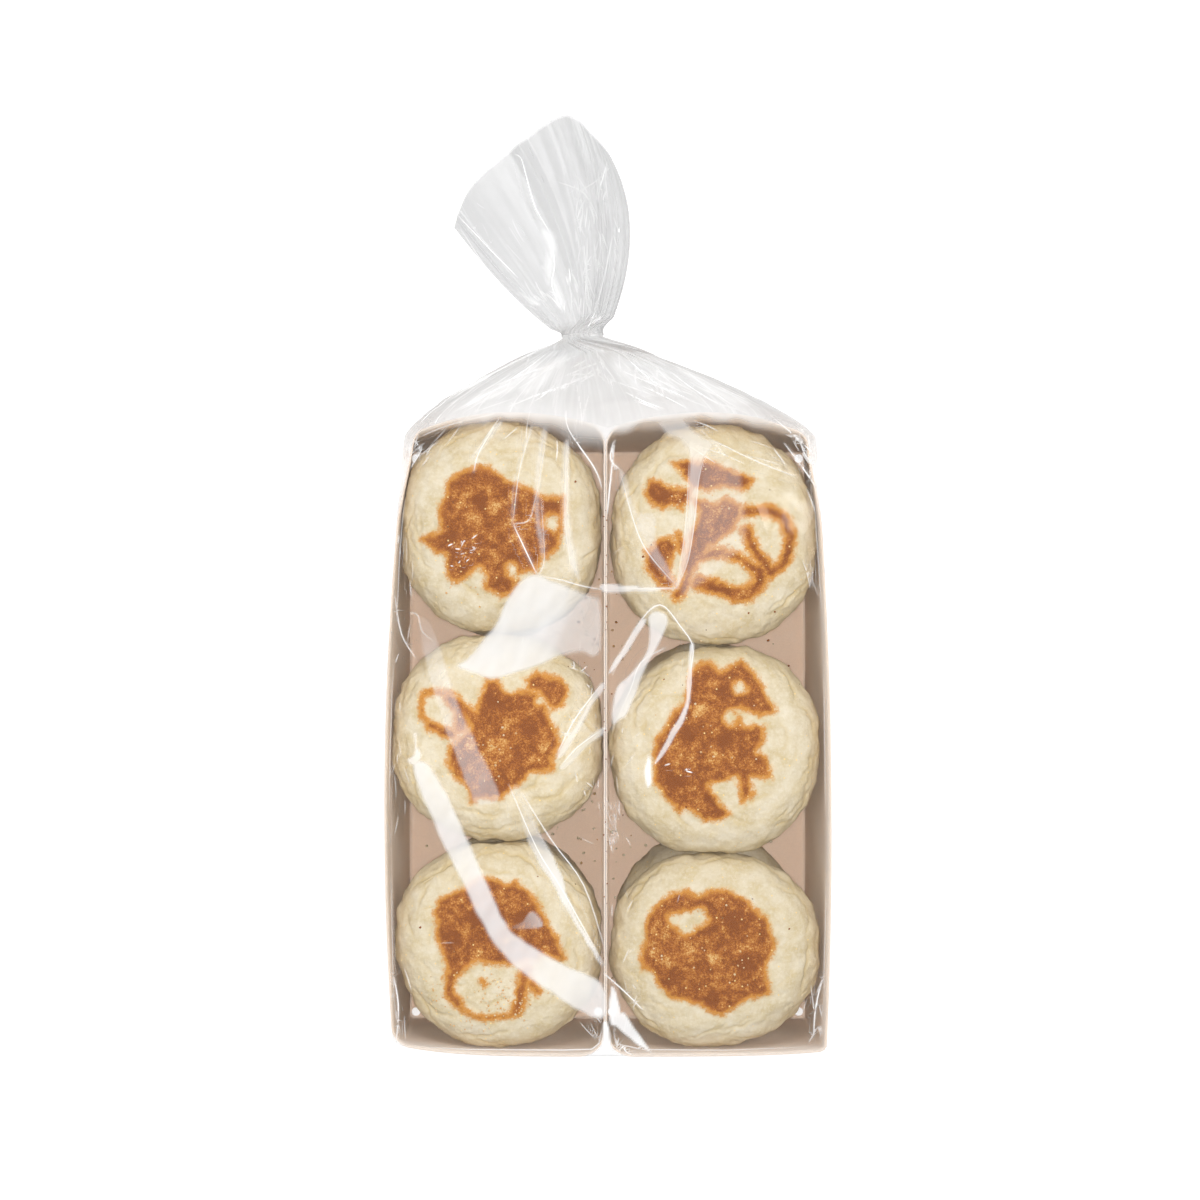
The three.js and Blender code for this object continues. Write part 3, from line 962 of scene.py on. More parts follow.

# A crease stands up as a sharp ridge: its path, its height, its width, and how strong the painted highlight
# along it is, a soft white band and a bright line.
Crease = namedtuple("Crease", "path height width veil")
CREASES = [
    Crease([(-91, -8), (-88, -25), (-82, -35)], 0.3, 0.7, 0.4),
    Crease([(-84.6, -16), (-81, -17), (-79, -24), (-73.5, -28.5)], 0.2, 0.6, 0.25),
    Crease([(-32, 64), (-37.5, 45), (-40.4, 22)], 0.5, 1.4, 0.3),
    Crease([(-40.4, 22), (-30, 0)], 0.9, 1.3, 0.6),
    Crease([(-26, 62), (-29, 41), (-33, 24)], 0.4, 1.0, 0.25),
    Crease([(-28.5, 33), (-27, 7), (-30, 0)], 0.9, 1.6, 0.25),
    Crease([(-17.4, 58), (-18.3, 24), (-15, 0)], 1.0, 1.9, 0.3),
    Crease([(-40.4, 22), (-34, 23), (-31, 30)], 0.4, 0.8, 0.3),
    Crease([(41.5, 52), (38.5, 40.5), (36.8, 23.5), (34, 6.5), (29.5, -4.8)], 0.8, 1.7, 0.4),
    Crease([(34.5, 48), (33.4, 26.9), (31.7, 11), (29, -4.3)], 0.3, 0.8, 0.3),
    Crease([(5.1, 45), (9.1, 29.1), (13.6, 15.6), (19.3, 6.5), (29.4, -4.8)], 0.7, 1.4, 0.45),
    Crease([(2.3, 57), (1.1, 49.5), (5.1, 45)], 0.6, 1.2, 0.6),
    Crease([(0, -5.4), (14, -5.7), (29.4, -5.6)], 0.5, 1.2, 0.35),
    Crease([(2, -42), (12, -22), (22, -12.5), (31, -22), (36, -30), (35.3, -40), (33.6, -54), (20.4, -79)],
           0.8, 1.0, 0.5),
    Crease([(24, -31), (14, -37), (9.4, -49), (2, -65)], 0.7, 1.8, 0.5),
    Crease([(-2.5, -46), (-14, -61), (-21.7, -76)], 0.5, 1.0, 0.5),
    Crease([(-1.7, -65), (-13, -73), (-20, -81)], 0.5, 0.9, 0.45),
    Crease([(-2, -169), (7, -177), (15, -185)], 0.5, 0.8, 0.6),
    Crease([(-30, 0), (-20, -2), (-11, -4.5), (-3, -6)], 0.5, 1.0, 0.4),
    Crease([(4.6, -203.1), (6.2, -200.8), (7.8, -203.1), (10.9, -204.5)], 0.2, 0.6, 0.6),
    Crease([(-48, 64), (-55, 52), (-57, 44)], 0.5, 1.6, 0.45),
    Crease([(44, 58), (62, 49), (80, 42)], 0.4, 0.7, 0.35),
    Crease([(-80, 59), (-68, 64), (-48, 69)], 0.4, 0.7, 0.35),
    Crease([(-66.7, 160.5), (-53, 146), (-39.6, 132)], 0.3, 0.7, 0.7),
    Crease([(-65.7, 155), (-51.5, 134), (-33.5, 115.6), (-25, 110.6)], 0.3, 0.6, 0.55),
    Crease([(-41.3, 188), (-38.5, 185.8), (-36.2, 177.9), (-32.8, 165.4), (-30, 159.7), (-25.5, 152)],
           0.3, 0.8, 0.8),
    Crease([(-25.5, 152), (-23.5, 138), (-24.6, 128), (-19.5, 116)], 0.3, 0.8, 0.6),
    Crease([(-17, 136), (-16.4, 129.3)], 0.3, 0.6, 0.7),
    Crease([(-22, 175), (-12, 171), (-8, 166)], 0.3, 0.6, 0.2),
    Crease([(-12, 171), (-4, 176), (2, 183)], 0.3, 0.6, 0.15),
    Crease([(-12, 171), (-14, 160), (-10, 150)], 0.3, 0.6, 0.15),
    Crease([(-0.6, 182.4), (-4, 170)], 0.3, 0.6, 0.45),
    Crease([(2, 150), (-2, 130), (-6, 116)], 0.3, 0.6, 0.4),
    Crease([(-9, 150), (-9.5, 130), (-11, 114)], 0.3, 0.6, 0.35),
    Crease([(-5, 118), (-10, 106)], 0.3, 0.7, 0.7),
    Crease([(74.8, 56.6), (84.6, 43.5), (88.9, 37)], 0.3, 0.7, 0.55),
    Crease([(69.3, 68.5), (79.1, 59.8), (87.8, 51.7)], 0.3, 0.7, 0.55),
    Crease([(81.3, 58.7), (83.9, 51.7), (87.8, 46.8)], 0.3, 0.7, 0.5),
    Crease([(-83.1, 57.7), (-79.8, 53.3), (-84.2, 45.7)], 0.3, 0.7, 0.5),
    Crease([(-88.5, 45.7), (-90.3, 21.7)], 0.3, 0.7, 0.45),
    Crease([(-17.8, 70.7), (-16.7, 62), (-5.8, 45.7), (-2.5, 37)], 0.3, 0.8, 0.6),
    Crease([(2.9, 57.7), (0.7, 37), (-0.3, 26)], 0.3, 0.8, 0.6),
    Crease([(-91.6, -169.9), (-89.3, -183.3), (-90.4, -200)], 0.3, 0.8, 0.6),
    Crease([(92, -169.9), (88.6, -183.3), (87.5, -196.7)], 0.3, 0.8, 0.6),
    Crease([(-42, -89), (-30.3, -116), (-19.2, -134), (-1.5, -166)], 0.2, 0.6, 0.6),
    Crease([(-37, -91.8), (-23.7, -113), (-10.3, -131.7), (-1.5, -158.3)], 0.2, 0.6, 0.45),
]

# A glare is a painted reflection, a stretch of film painted milky white where it mirrors a softbox: outline,
# strength, soft edge, brightness, and for some where it starts to fade, where it ends and the share that is
# left there.
Glare = namedtuple("Glare", "outline strength edge tone fade", defaults=[None])
GLARES = [
    Glare([(-63.7, -38.5), (-60, -36), (-53.5, -28), (-48, -22), (-44, -13), (-39.5, -5.5), (-35, -1.2),
           (-29.7, 0), (-23, -2.7), (-13, -6.5), (-6, -9.5), (-3.4, -12), (-3.2, -30), (-6, -34.5),
           (-11, -32.5), (-20.4, -34.2), (-30.3, -38.5), (-39.2, -41.3), (-49.2, -43.5), (-55.8, -42)],
          0.7, 1.2, 0.77, ((-26, -18), (-11, -23), 0.55)),
    Glare([(-81, -20), (-74, -49), (-67, -70), (-59, -91), (-56, -97), (-46, -94), (-57, -70), (-66, -49),
           (-75, -22)], 0.28, 0.8, 0.86, ((-73, -45), (-80, -18), 0.3)),
    Glare([(-83, -81), (-78, -96), (-71, -112), (-62, -130), (-54, -146), (-46, -159), (-29, -174),
           (-3, -189), (-3, -174), (-20, -165), (-39, -153), (-44, -147), (-52, -130), (-60, -112),
           (-69, -93), (-77, -80)], 0.62, 1.0, 0.86),
    Glare([(-40, -90.7), (-34.2, -112.5), (-29.6, -121.7), (-25, -128.6), (-21.2, -135.6), (-14.6, -147.1),
           (-7.6, -158.7), (-2.4, -166.2), (-6.5, -156.7), (-12.4, -147.1), (-17.6, -135.6),
           (-19.2, -128.6), (-22.1, -121.7), (-27.3, -112.5), (-36.5, -92)],
          0.62, 0.5, 0.85, ((-24, -130), (-36, -96), 0.2)),
    Glare([(-40.5, -149.8), (-36, -146.8), (-32, -142.6), (-27.5, -149)],
          0.4, 0.6, 0.8, ((-28, -147), (-40, -150), 0.3)),
    Glare([(41, 51), (54, 48), (57, 36), (58, 15), (52, 8), (36, -6), (31, -6), (38, 24)], 0.16, 1.6, 0.8),
    Glare([(34.5, 57.5), (41.9, 52.9), (40.2, 48.4), (38.5, 40.5), (36.8, 23.5), (34, 6.5), (30, -4.8),
           (28.9, -4.3), (31.7, 11), (33.4, 26.9), (34.5, 40.5), (35.1, 48.4)], 0.38, 0.6, 0.85),
    Glare([(5.1, 45), (7.9, 40.5), (11.9, 26.9), (19.8, 25.7), (20.4, 13.3), (26.6, 2), (29.7, -4.8),
           (27.2, -3.7), (19.3, 6.5), (13.6, 15.6), (9.1, 29.1), (5.7, 37.1)], 0.26, 0.8, 0.85),
    Glare([(-2.3, -3.7), (-1.1, -7.3), (13.6, -6.5), (28.9, -6.2), (28.9, -5.7), (13.6, -4.8)],
          0.5, 0.4, 0.85),
    Glare([(15.5, 73.3), (27.3, 73.3), (35.5, 62.7), (43.8, 56.8), (42.6, 52), (36.7, 50.9), (32, 56.8),
           (23.7, 61.5)], 0.36, 1.4, 0.8),
    Glare([(-1, 74), (35, 74), (38, 66), (23.5, 61.5), (8, 63), (0, 65)],
          0.4, 1.6, 0.7, ((18, 72), (18, 60), 0.2)),
    Glare([(17.3, -17.6), (17.8, -24.7), (16.1, -32.9), (9.6, -42.4), (3.7, -48.3), (1.9, -62.4),
           (5.5, -61.2), (7.8, -59.5), (11.4, -50.6), (16.1, -38.8), (20.8, -30.6), (25.5, -18.8),
           (21, -15.5)], 0.55, 0.8, 0.9),
    Glare([(14.3, -18.8), (16.1, -19.9), (10.8, -28.2), (3.7, -38.8), (0.7, -40.6), (7.2, -29.4)],
          0.55, 0.5, 0.9),
    Glare([(34.9, -29.4), (36.5, -30), (34.9, -44.7), (34.4, -55.3), (28.5, -68.3), (20.8, -79.5),
           (20.2, -78.9), (26.1, -67.1), (32.9, -54.8), (33.4, -44.7), (34.6, -34.1)], 0.55, 0.4, 0.95),
    Glare([(-2, -45.5), (-2, -48.5), (-7, -56), (-12.5, -66), (-17.5, -74.5), (-20.3, -77.5), (-21.6, -77),
           (-19.4, -72), (-12.7, -62), (-5.5, -48.8)], 0.42, 0.7, 0.9),
    Glare([(-1.4, -64.5), (-2, -67.5), (-8, -72), (-14, -78), (-18.8, -82.5), (-20.3, -81), (-15.5, -75.6),
           (-7.5, -68)], 0.34, 0.7, 0.9),
    Glare([(16.6, -78.5), (17.6, -77), (18.3, -82), (18, -88.5), (16.6, -89.5), (15.8, -84)],
          0.7, 0.6, 1.0),
    Glare([(-82.4, -67.6), (-81.3, -67.6), (-81.5, -72.6), (-79.6, -75.9), (-80.7, -79.3), (-83.5, -80.6),
           (-85.1, -78.1), (-82.4, -75.9)], 0.45, 0.6, 1.0),
    Glare([(1, -175.5), (2.8, -176.6), (4.9, -182.8), (5.2, -186), (7.3, -186.5), (10.9, -192.2),
           (17.9, -202.4), (17.1, -202.6), (13, -200), (6.7, -194.8), (3.1, -191.7), (1, -189.6)],
          0.78, 0.5, 0.9),
    Glare([(-2.1, -190.6), (-2.4, -195.8), (-3.4, -200.8), (-5.8, -203.1), (-9.9, -205.2), (-10.5, -207.5),
           (8.8, -207.5), (6.7, -205), (3.1, -202.7), (1.3, -199.5), (0.4, -193.3), (-0.6, -190)],
          0.85, 0.5, 0.85),
    Glare([(-48.1, 64.2), (-45.2, 64.5), (-54.8, 52), (-57.7, 50.9)], 0.32, 0.9, 0.85),
    Glare([(-18.9, 55), (-16.5, 55), (-16.4, 24), (-12.2, 0), (-13.5, -1), (-18.2, 14), (-19.3, 36)],
          0.34, 0.9, 0.85),
    Glare([(-28.2, 62), (-26, 62), (-28.5, 41), (-29.4, 30), (-27, 11), (-28.7, 10), (-31, 27), (-31, 42)],
          0.28, 0.9, 0.85),
    Glare([(-34, 62), (-32.5, 62), (-39, 41), (-40.4, 23), (-41, 24), (-39.7, 41)], 0.22, 0.7, 0.85),
    Glare([(-29.5, 152.8), (-23.3, 150), (-23.8, 136), (-26, 129), (-28, 135), (-26.4, 144)],
          0.5, 1.6, 0.85),
    Glare([(-28.9, 137), (-23.2, 131.5), (-19.5, 121), (-22.5, 119.5), (-25.8, 131)], 0.5, 1.4, 0.85),
    Glare([(-39.6, 125.8), (-30, 120.7), (-33.5, 119.6), (-36.8, 122.9)], 0.55, 0.9, 0.85),
    Glare([(5.6, 154.7), (4.5, 152.4), (7.9, 152.4)], 0.8, 0.5, 1.0),
    Glare([(-6, 115), (-3, 114), (-4, 111), (-7, 110)], 0.55, 0.8, 0.9),
    Glare([(-42.5, 189), (-38, 188), (-31.5, 160), (-34, 160)], 0.5, 0.8, 0.45),
    Glare([(1, 95), (7, 96), (13, 86), (20, 77), (14, 76), (6, 85)], 0.62, 2.0, 0.7),
    Glare([(16, 93), (24, 88), (31, 79), (25, 78), (19, 86)], 0.58, 1.8, 0.68),
    Glare([(-18, 96), (-27, 92), (-38, 81), (-33, 78), (-23, 88)], 0.6, 2.0, 0.8),
    Glare([(-30, 93), (-44, 84), (-58, 76), (-55, 74), (-40, 81)], 0.6, 1.8, 0.85),
    Glare([(30, 91), (46, 82), (60, 74), (54, 74), (40, 82)], 0.6, 1.8, 0.85),
]


# A line is a painted highlight, a fine bright streak where the film's creases catch the light: its path and
# how bright it is.
Line = namedtuple("Line", "path strength")
LINE_SPAN = 4.0

# The film of the side walls and the square end is unrolled this far from the middle, so that
# their creases have places of their own.
UNROLLED = 1000.0

# Stretches of film with many small creases, drawn as short painted highlights: middle, half size, how many,
# heading, its spread, length and brightness.
Creased = namedtuple("Creased", "x y half_x half_y count heading spread length strength")
CREASED_AREAS = [
    Creased(-60, 60, 26, 6, 5, 40, 16, 16, 0.45),
    Creased(-22, 56, 16, 8, 6, 85, 10, 18, 0.45),
    Creased(66, 54, 20, 8, 7, 145, 12, 16, 0.45),
    Creased(-28, 86, 16, 7, 26, 42, 30, 9, 0.4),
    Creased(14, 84, 14, 8, 26, 125, 34, 8, 0.5),
    Creased(-9, 92, 12, 8, 14, 90, 40, 6, 0.35),
    Creased(-56, 76, 26, 7, 20, 28, 10, 28, 0.75),
    Creased(46, 76, 26, 7, 20, 152, 10, 26, 0.75),
    Creased(90, 20, 4, 34, 14, 95, 14, 10, 0.4),
    Creased(-9, -70, 6, 45, 22, 100, 60, 5, 0.35),
    Creased(7, -120, 6, 60, 14, 80, 50, 5, 0.3),
    Creased(-88, -40, 5, 90, 16, 90, 25, 8, 0.3),
    Creased(0, -70, 85, 110, 10, 60, 90, 5, 0.2),
    # The next three are painted glints: short white strokes in the film over the oily skin of two muffins.
    Creased(-62, 10, 7, 7, 12, 20, 60, 2.2, 0.95),
    Creased(24, -80, 1.5, 1.5, 2, 20, 30, 2.2, 0.95),
    Creased(33, -84, 1.5, 1.5, 2, 20, 30, 2.2, 0.95),
    Creased(80, 52, 8, 9, 11, 125, 20, 9, 0.55),
    Creased(-83, 54, 6, 8, 7, 60, 20, 8, 0.5),
    Creased(-91, 25, 2.5, 26, 10, 88, 16, 6, 0.55),
    Creased(3.5, -104, 2, 14, 16, 112, 18, 6, 0.32),
    Creased(88, -185, 5, 16, 8, 75, 30, 9, 0.45),
    Creased(-88, -185, 5, 16, 6, 105, 30, 9, 0.35),
    Creased(4, -190, 12, 12, 12, 110, 40, 9, 0.5),
    Creased(-4, 150, 10, 28, 46, 95, 22, 10, 0.35),
    Creased(-12, 120, 9, 10, 20, 105, 18, 9, 0.45),
    Creased(-28, 118, 8, 8, 10, 135, 14, 9, 0.45),
    Creased(-46, 160, 18, 22, 7, 130, 30, 10, 0.15),
    Creased(UNROLLED + 35, -70, 32, 125, 40, 78, 34, 20, 0.5),
    Creased(UNROLLED + 35, 40, 32, 18, 20, 110, 30, 18, 0.5),
    Creased(-UNROLLED + 35, -70, 32, 125, 40, 78, 34, 20, 0.5),
    Creased(-UNROLLED + 35, 40, 32, 18, 20, 110, 30, 18, 0.5),
    Creased(0, SQUARE_END - UNROLLED - 35, 88, 32, 70, 80, 50, 15, 0.45),
]


# Steps of each small crease.
CREASE_STEPS = 4


def small_creases():
    """Painted highlights: short, slightly bent bright lines scattered over the creased stretches."""
    draw = random.Random(77)
    lines = []
    for area in CREASED_AREAS:
        for _ in range(area.count):
            x = area.x + draw.uniform(-1, 1) * area.half_x
            y = area.y + draw.uniform(-1, 1) * area.half_y
            turn = math.radians(area.heading + draw.gauss(0, area.spread / 2))
            length = area.length * draw.uniform(0.4, 1.3)
            bend = draw.uniform(-0.35, 0.35)
            path = [(x, y)]
            for _ in range(CREASE_STEPS):
                turn += bend / CREASE_STEPS
                x += length / CREASE_STEPS * math.cos(turn)
                y += length / CREASE_STEPS * math.sin(turn)
                path.append((x, y))
            lines.append(Line(path, area.strength * draw.uniform(0.4, 1.2)))
    return lines


def rim_lines():
    """Painted highlights: fine bright lines where the film turns over the rims."""
    lines = []
    for side in (-1, 1):
        for first, last in ((14, 92), (104, 178), (186, 250)):
            path = []
            for distance in range(first, last, 13):
                inset = RIM_LINE_INSET + 0.5 * rough(distance, side * 9, 0, 20)
                path.append((side * (half_width(side, distance, 1) - inset), SQUARE_END + distance))
            lines.append(Line(path, 0.28))
    left = [(-81.8, -200.9), (-60, -202), (-20, -202.3), (-7, -202), (-3.8, -199.5), (-2.6, -193)]
    right = [(2.2, -193), (3.4, -199.5), (15, -202.1), (50, -202.3), (88, -200.9)]
    lines.append(Line(left, 0.6))
    lines.append(Line(right, 0.45))
    return lines


CREASES = [crease._replace(path=eased_path(crease.path)) for crease in CREASES]
GLARES = [glare._replace(outline=eased_outline(glare.outline)) for glare in GLARES]
LINES = [Line(crease.path, 1.3 * crease.veil) for crease in CREASES] + small_creases() + rim_lines()
CREASE_BOXES = [(crease, reach_of(crease.path, 3 * crease.width)) for crease in CREASES]
GLARE_BOXES = [(glare, reach_of(glare.outline, 3)) for glare in GLARES]
LINE_BOXES = [(line, reach_of(line.path, 2)) for line in LINES]


def film_crease(x, y):
    """How high the creases lift the film at a place, and how strong their painted highlight is there."""
    lift = 0.0
    veil = 0.0
    for crease, box in CREASE_BOXES:
        if not within(box, x, y):
            continue
        gap, at, side = distance_to_path(crease.path, x, y)
        width = crease.width * (0.35 + 0.65 * math.sin(math.pi * clamp(at, 0.04, 0.96)) ** 0.6)
        steep = width if side > 0 else 2.2 * width
        lift = max(lift, crease.height * max(0.0, 1 - gap / steep) ** 1.3)
        veil = max(veil, 0.25 * crease.veil * (1 - smoothstep(gap, 0, 1.5 * width)))
    return lift, veil


def share_between(start, end, x, y):
    """How far a place is from the start towards the end, 0 to 1."""
    ax, ay = start
    bx, by = end
    return ((x - ax) * (bx - ax) + (y - ay) * (by - ay)) / ((bx - ax) ** 2 + (by - ay) ** 2)


def film_glare(x, y):
    """How strong the painted glare of the slanting stretches of film is at a place, and how bright."""
    veil = 0.0
    tone = 0.9
    streak = 1 + 0.12 * rough(x * 2 - y, x * 0.4 + y * 0.8, 4, 9)
    for glare, box in GLARE_BOXES:
        if not within(box, x, y):
            continue
        wx = x + 0.5 * rough(x, y, 5, 6)
        wy = y + 0.5 * rough(x, y, 9, 6)
        strength = glare.strength * streak
        strength *= smoothstep(depth_inside(glare.outline, wx, wy), -glare.edge, glare.edge)
        if glare.fade:
            start, end, left = glare.fade
            strength *= lerp(1.0, left, smoothstep(share_between(start, end, x, y), 0, 1))
        if strength > veil:
            veil = strength
            tone = glare.tone
    return veil, tone


def film_line(x, y):
    """The painted highlight line nearest to a place: how far to its left or right, and how bright it is."""
    nearest = LINE_SPAN
    strength = 0.0
    for line, box in LINE_BOXES:
        if not within(box, x, y):
            continue
        gap, at, side = distance_to_path(line.path, x, y)
        if gap < abs(nearest):
            nearest = gap * side
            strength = line.strength * math.sin(math.pi * clamp(at)) ** 0.5
    return nearest, strength


def wrap_place(x, y, z, side_on):
    """Where a place on a side wall, or else on the square end, lies in the unrolled film."""
    if side_on:
        return math.copysign(UNROLLED, x) + z, y
    return x, SQUARE_END - UNROLLED - z


def as_line(nearest, strength):
    """A painted highlight line as the film's material reads it."""
    return clamp(0.5 + nearest / (2 * LINE_SPAN)), clamp(strength), 0, 1


def end_haze(x):
    """How milky the film is over the trays' rim at the neck end, less towards the sides."""
    return RIM_VEIL * (1 - 0.6 * smoothstep(abs(x), 45, 85))


def make_film_top():
    """The film over the open trays, taut between the rims and the muffins, with its creases, their painted
    highlights and painted glare.
    """
    columns, rows = 236, 330
    bm = bmesh.new()
    bmesh.ops.create_grid(bm, x_segments=columns, y_segments=rows, size=1)
    haze_and_glare_layer, highlight_layer = add_haze_glare_and_highlight_layers(bm)
    for vert in bm.verts:
        s, along = vert.co.x, (vert.co.y + 1) / 2
        point = body_point(s, 1.0, along)
        x, y = point.x, point.y
        inside = smoothstep(1 - abs(s), 0, 0.05) * smoothstep(along, 0, 0.02) * smoothstep(1 - along, 0, 0.02)
        lift, crease_highlight = film_crease(x, y)
        # Painted glare: the film painted milky white where it would mirror a softbox.
        painted_glare, tone = film_glare(x, y)
        drift = 0.12 * rough(x, y, 3, 22) + 0.05 * rough(x, y, 8, 7)
        point.z += (0.3 * lift + drift) * inside
        # A pale band along the rims and the square end: painted sheen where the film turns over them.
        rim = (0.2 if s > 0 else 0.06) * (1 - smoothstep(1 - abs(s), 0, 0.045))
        rim = max(rim, 0.22 * (1 - smoothstep(along, 0.004, 0.02)))
        streaky = 0.01 * rough(x, y * 0.5, 1, 9)
        reach = lerp(HAZE_REACH, HAZE_AT_DIVIDER, smoothstep(x, -48, -4) * smoothstep(x, 2, -2))
        haze = end_haze(x) * smoothstep(along + streaky, 1 - reach, 1.0)
        veil = max(crease_highlight, painted_glare, rim, haze)
        if haze > max(crease_highlight, painted_glare, rim):
            tone = RIM_TONE
        vert.co = point
        vert[haze_and_glare_layer] = (clamp(veil), tone, 0, 1)
        vert[highlight_layer] = as_line(*film_line(x, y))
    return finish_piece(bm, "film_over_trays", film, "film")


def make_film_wrap():
    """The film down the sides, over the square end and under the trays."""
    bm = cut_box(92, 150, 30)
    haze_and_glare_layer, highlight_layer = add_haze_glare_and_highlight_layers(bm)
    open_faces = []
    for face in bm.faces:
        middle = face.calc_center_median()
        if middle.z > 0.999 or middle.y > 0.999:
            open_faces.append(face)
    bmesh.ops.delete(bm, geom=open_faces, context="FACES")
    for vert in bm.verts:
        s, along, level = vert.co.x, (vert.co.y + 1) / 2, vert.co.z
        point = body_point(s, level, along)
        edge = abs(level) > 0.98 or along > 0.995
        if not edge:
            ripple = 0.35 * rough(point.x, point.y, point.z * 3, 14)
            ripple += 0.15 * rough(point.x, point.y, point.z, 4)
            if along == 0:
                point.y -= abs(ripple)
            elif abs(s) > 0.999:
                point.x += math.copysign(abs(ripple), s)
        corner = smoothstep(abs(s), 0.9, 1) * smoothstep(along, 0.06, 0)
        neck = 0.3 * smoothstep(along, 0.95, 1)
        haze = 0.12 * smoothstep(rough(point.x, point.y, 1.5 * point.z, 26), 0.05, 0.5)
        side_on = abs(s) > 0.999
        vert.co = point
        vert[haze_and_glare_layer] = (clamp(max(0.12 * corner, neck, haze)), 0.8, 0, 1)
        if abs(level) < 0.999:
            vert[highlight_layer] = as_line(*film_line(*wrap_place(point.x, point.y, point.z, side_on)))
    return finish_piece(bm, "film_round_sides", film, "film")


def make_rays():
    """Painted highlights, fine bright lines that run from the neck over the shoulders: share, where from and
    to, brightness.
    """
    draw = random.Random(19)
    rays = []
    for _ in range(RAYS):
        share = draw.random()
        beside = abs(on_square(share)[0]) ** 1.5
        end = draw.uniform(0.45, 1.05)
        rays.append((share, end - draw.uniform(0.25, 0.9), end, draw.uniform(0.02, 0.12 + 0.75 * beside)))
    return sorted(rays)


def ray_line(rays, share, along):
    """The painted highlight ray nearest to a place on the shoulders, in millimetres, and how bright it is."""
    girth = lerp(GIRTH_AT_RIM, GIRTH_AT_NECK, along**0.7)
    i = bisect_left(rays, (share,))
    nearest = LINE_SPAN
    strength = 0.0
    for middle, start, end, painted_highlight in rays[max(i - 4, 0) : i + 4]:
        bend = 0.0012 * math.sin(6 * along + 60 * middle)
        gap = (share - middle - bend) * girth
        if abs(gap) < abs(nearest) and start < along < end:
            nearest = gap
            strength = painted_highlight * smoothstep(along, start, start + 0.12) * smoothstep(along, end, end - 0.12)
    return nearest, strength


def make_film_gathered():
    """The shoulders and the twisted neck."""
    around, shoulder_rings, neck_rings = 920, 70, 4
    rings = shoulder_rings + neck_rings
    rays = make_rays()
    bm = open_tube(around, rings)
    haze_and_glare_layer, highlight_layer = add_haze_glare_and_highlight_layers(bm)
    for vert in bm.verts:
        share = share_round(vert)
        ring = round((vert.co.z + 0.5) * rings)
        along = min(ring / shoulder_rings, 1.0)
        if ring <= shoulder_rings:
            point = shoulder_point(share, along)
        else:
            point = turned(neck_point(share, (ring - shoulder_rings) / neck_rings), NECK_TWIST)
        streak = 0.5 * rough(share * 420, along * 5, 4, 3) + 0.3 * rough(share * 1100, along * 6, 14, 3)
        cloud = rough(share * 120, along * 60, 8, 22)
        start_veil = end_haze(point.x) if share < TOP_SHARE else 0.3
        veil = lerp(start_veil, SHOULDER_VEIL, smoothstep(along, 0, 0.3)) + 0.07 * streak + 0.18 * cloud
        vert.co = point
        start_tone = RIM_TONE if share < TOP_SHARE else SHOULDER_TONE + 0.12
        tone = lerp(start_tone, SHOULDER_TONE, smoothstep(along, 0, 0.35)) + 0.04 * streak + 0.08 * cloud
        nearest, strength = ray_line(rays, share, along)
        if share < TOP_SHARE and along < 0.85:
            painted_glare, glare_tone = film_glare(point.x, point.y)
            tone = lerp(tone, glare_tone, clamp(painted_glare * 1.2))
            veil = max(veil, painted_glare)
            near_crease, crease_strength = film_line(point.x, point.y)
            if abs(near_crease) < abs(nearest):
                nearest, strength = near_crease, crease_strength
        vert[haze_and_glare_layer] = (clamp(veil), tone, 0, 1)
        vert[highlight_layer] = as_line(nearest, strength)
    return finish_piece(bm, "film_shoulders_and_neck", film, "film")


def make_film_fan():
    """The loose end of the bag past the neck: two layers, open at the mouth."""
    around, rings = 460, 120
    bm = open_tube(around, rings)
    haze_and_glare_layer, highlight_layer = add_haze_glare_and_highlight_layers(bm)
    for vert in bm.verts:
        share = share_round(vert)
        along = vert.co.z + 0.5
        side = (on_disc(*on_square(share))[0] + 1) / 2
        wrinkled = smoothstep(side, 0.35, 0.65)
        point = fan_point(share, along)
        streak = rough(share * 300, along * 5, 9, 3)
        cloud = rough(point.x, point.y, 30, 9)
        veil = 0.4 + 0.06 * wrinkled + (0.02 + 0.045 * wrinkled) * streak + 0.07 * wrinkled * cloud
        tone = lerp(0.47, 0.465, wrinkled) + (0.03 * streak + 0.05 * cloud) * wrinkled
        tone -= 0.05 * smoothstep(along, 0.45, 0.95)
        nearest, strength = LINE_SPAN, 0.0
        if share < TOP_SHARE or share > 1 - SIDE_SHARE / 2:
            painted_glare, glare_tone = film_glare(point.x, point.y)
            tone = lerp(tone, glare_tone, clamp(painted_glare * 1.4))
            veil = max(veil, painted_glare)
            nearest, strength = film_line(point.x, point.y)
        vert.co = point
        vert[haze_and_glare_layer] = (clamp(veil), tone, 0, 1)
        vert[highlight_layer] = as_line(nearest, strength)
    return finish_piece(bm, "film_fan", film, "film")


# ---------------------------------------------------------------- materials


def linear(value):
    """A display value from 0 to 255 as the shader wants it."""
    value /= 255
    return value / 12.92 if value <= 0.04045 else ((value + 0.055) / 1.055) ** 2.4


def srgb(red, green, blue):
    """A colour from its 0 to 255 values."""
    return linear(red), linear(green), linear(blue)


def opaque(item):
    """A colour with its alpha; an output stays as it is."""
    return (*item, 1) if isinstance(item, tuple) else item


def set_stops(ramp, stops):
    """Gives a colour ramp its stops, which are places and colours."""
    while len(ramp.elements) < len(stops):
        ramp.elements.new(1.0)
    for element, (position, colour) in zip(ramp.elements, stops):
        element.position = position
        element.color = opaque(colour)


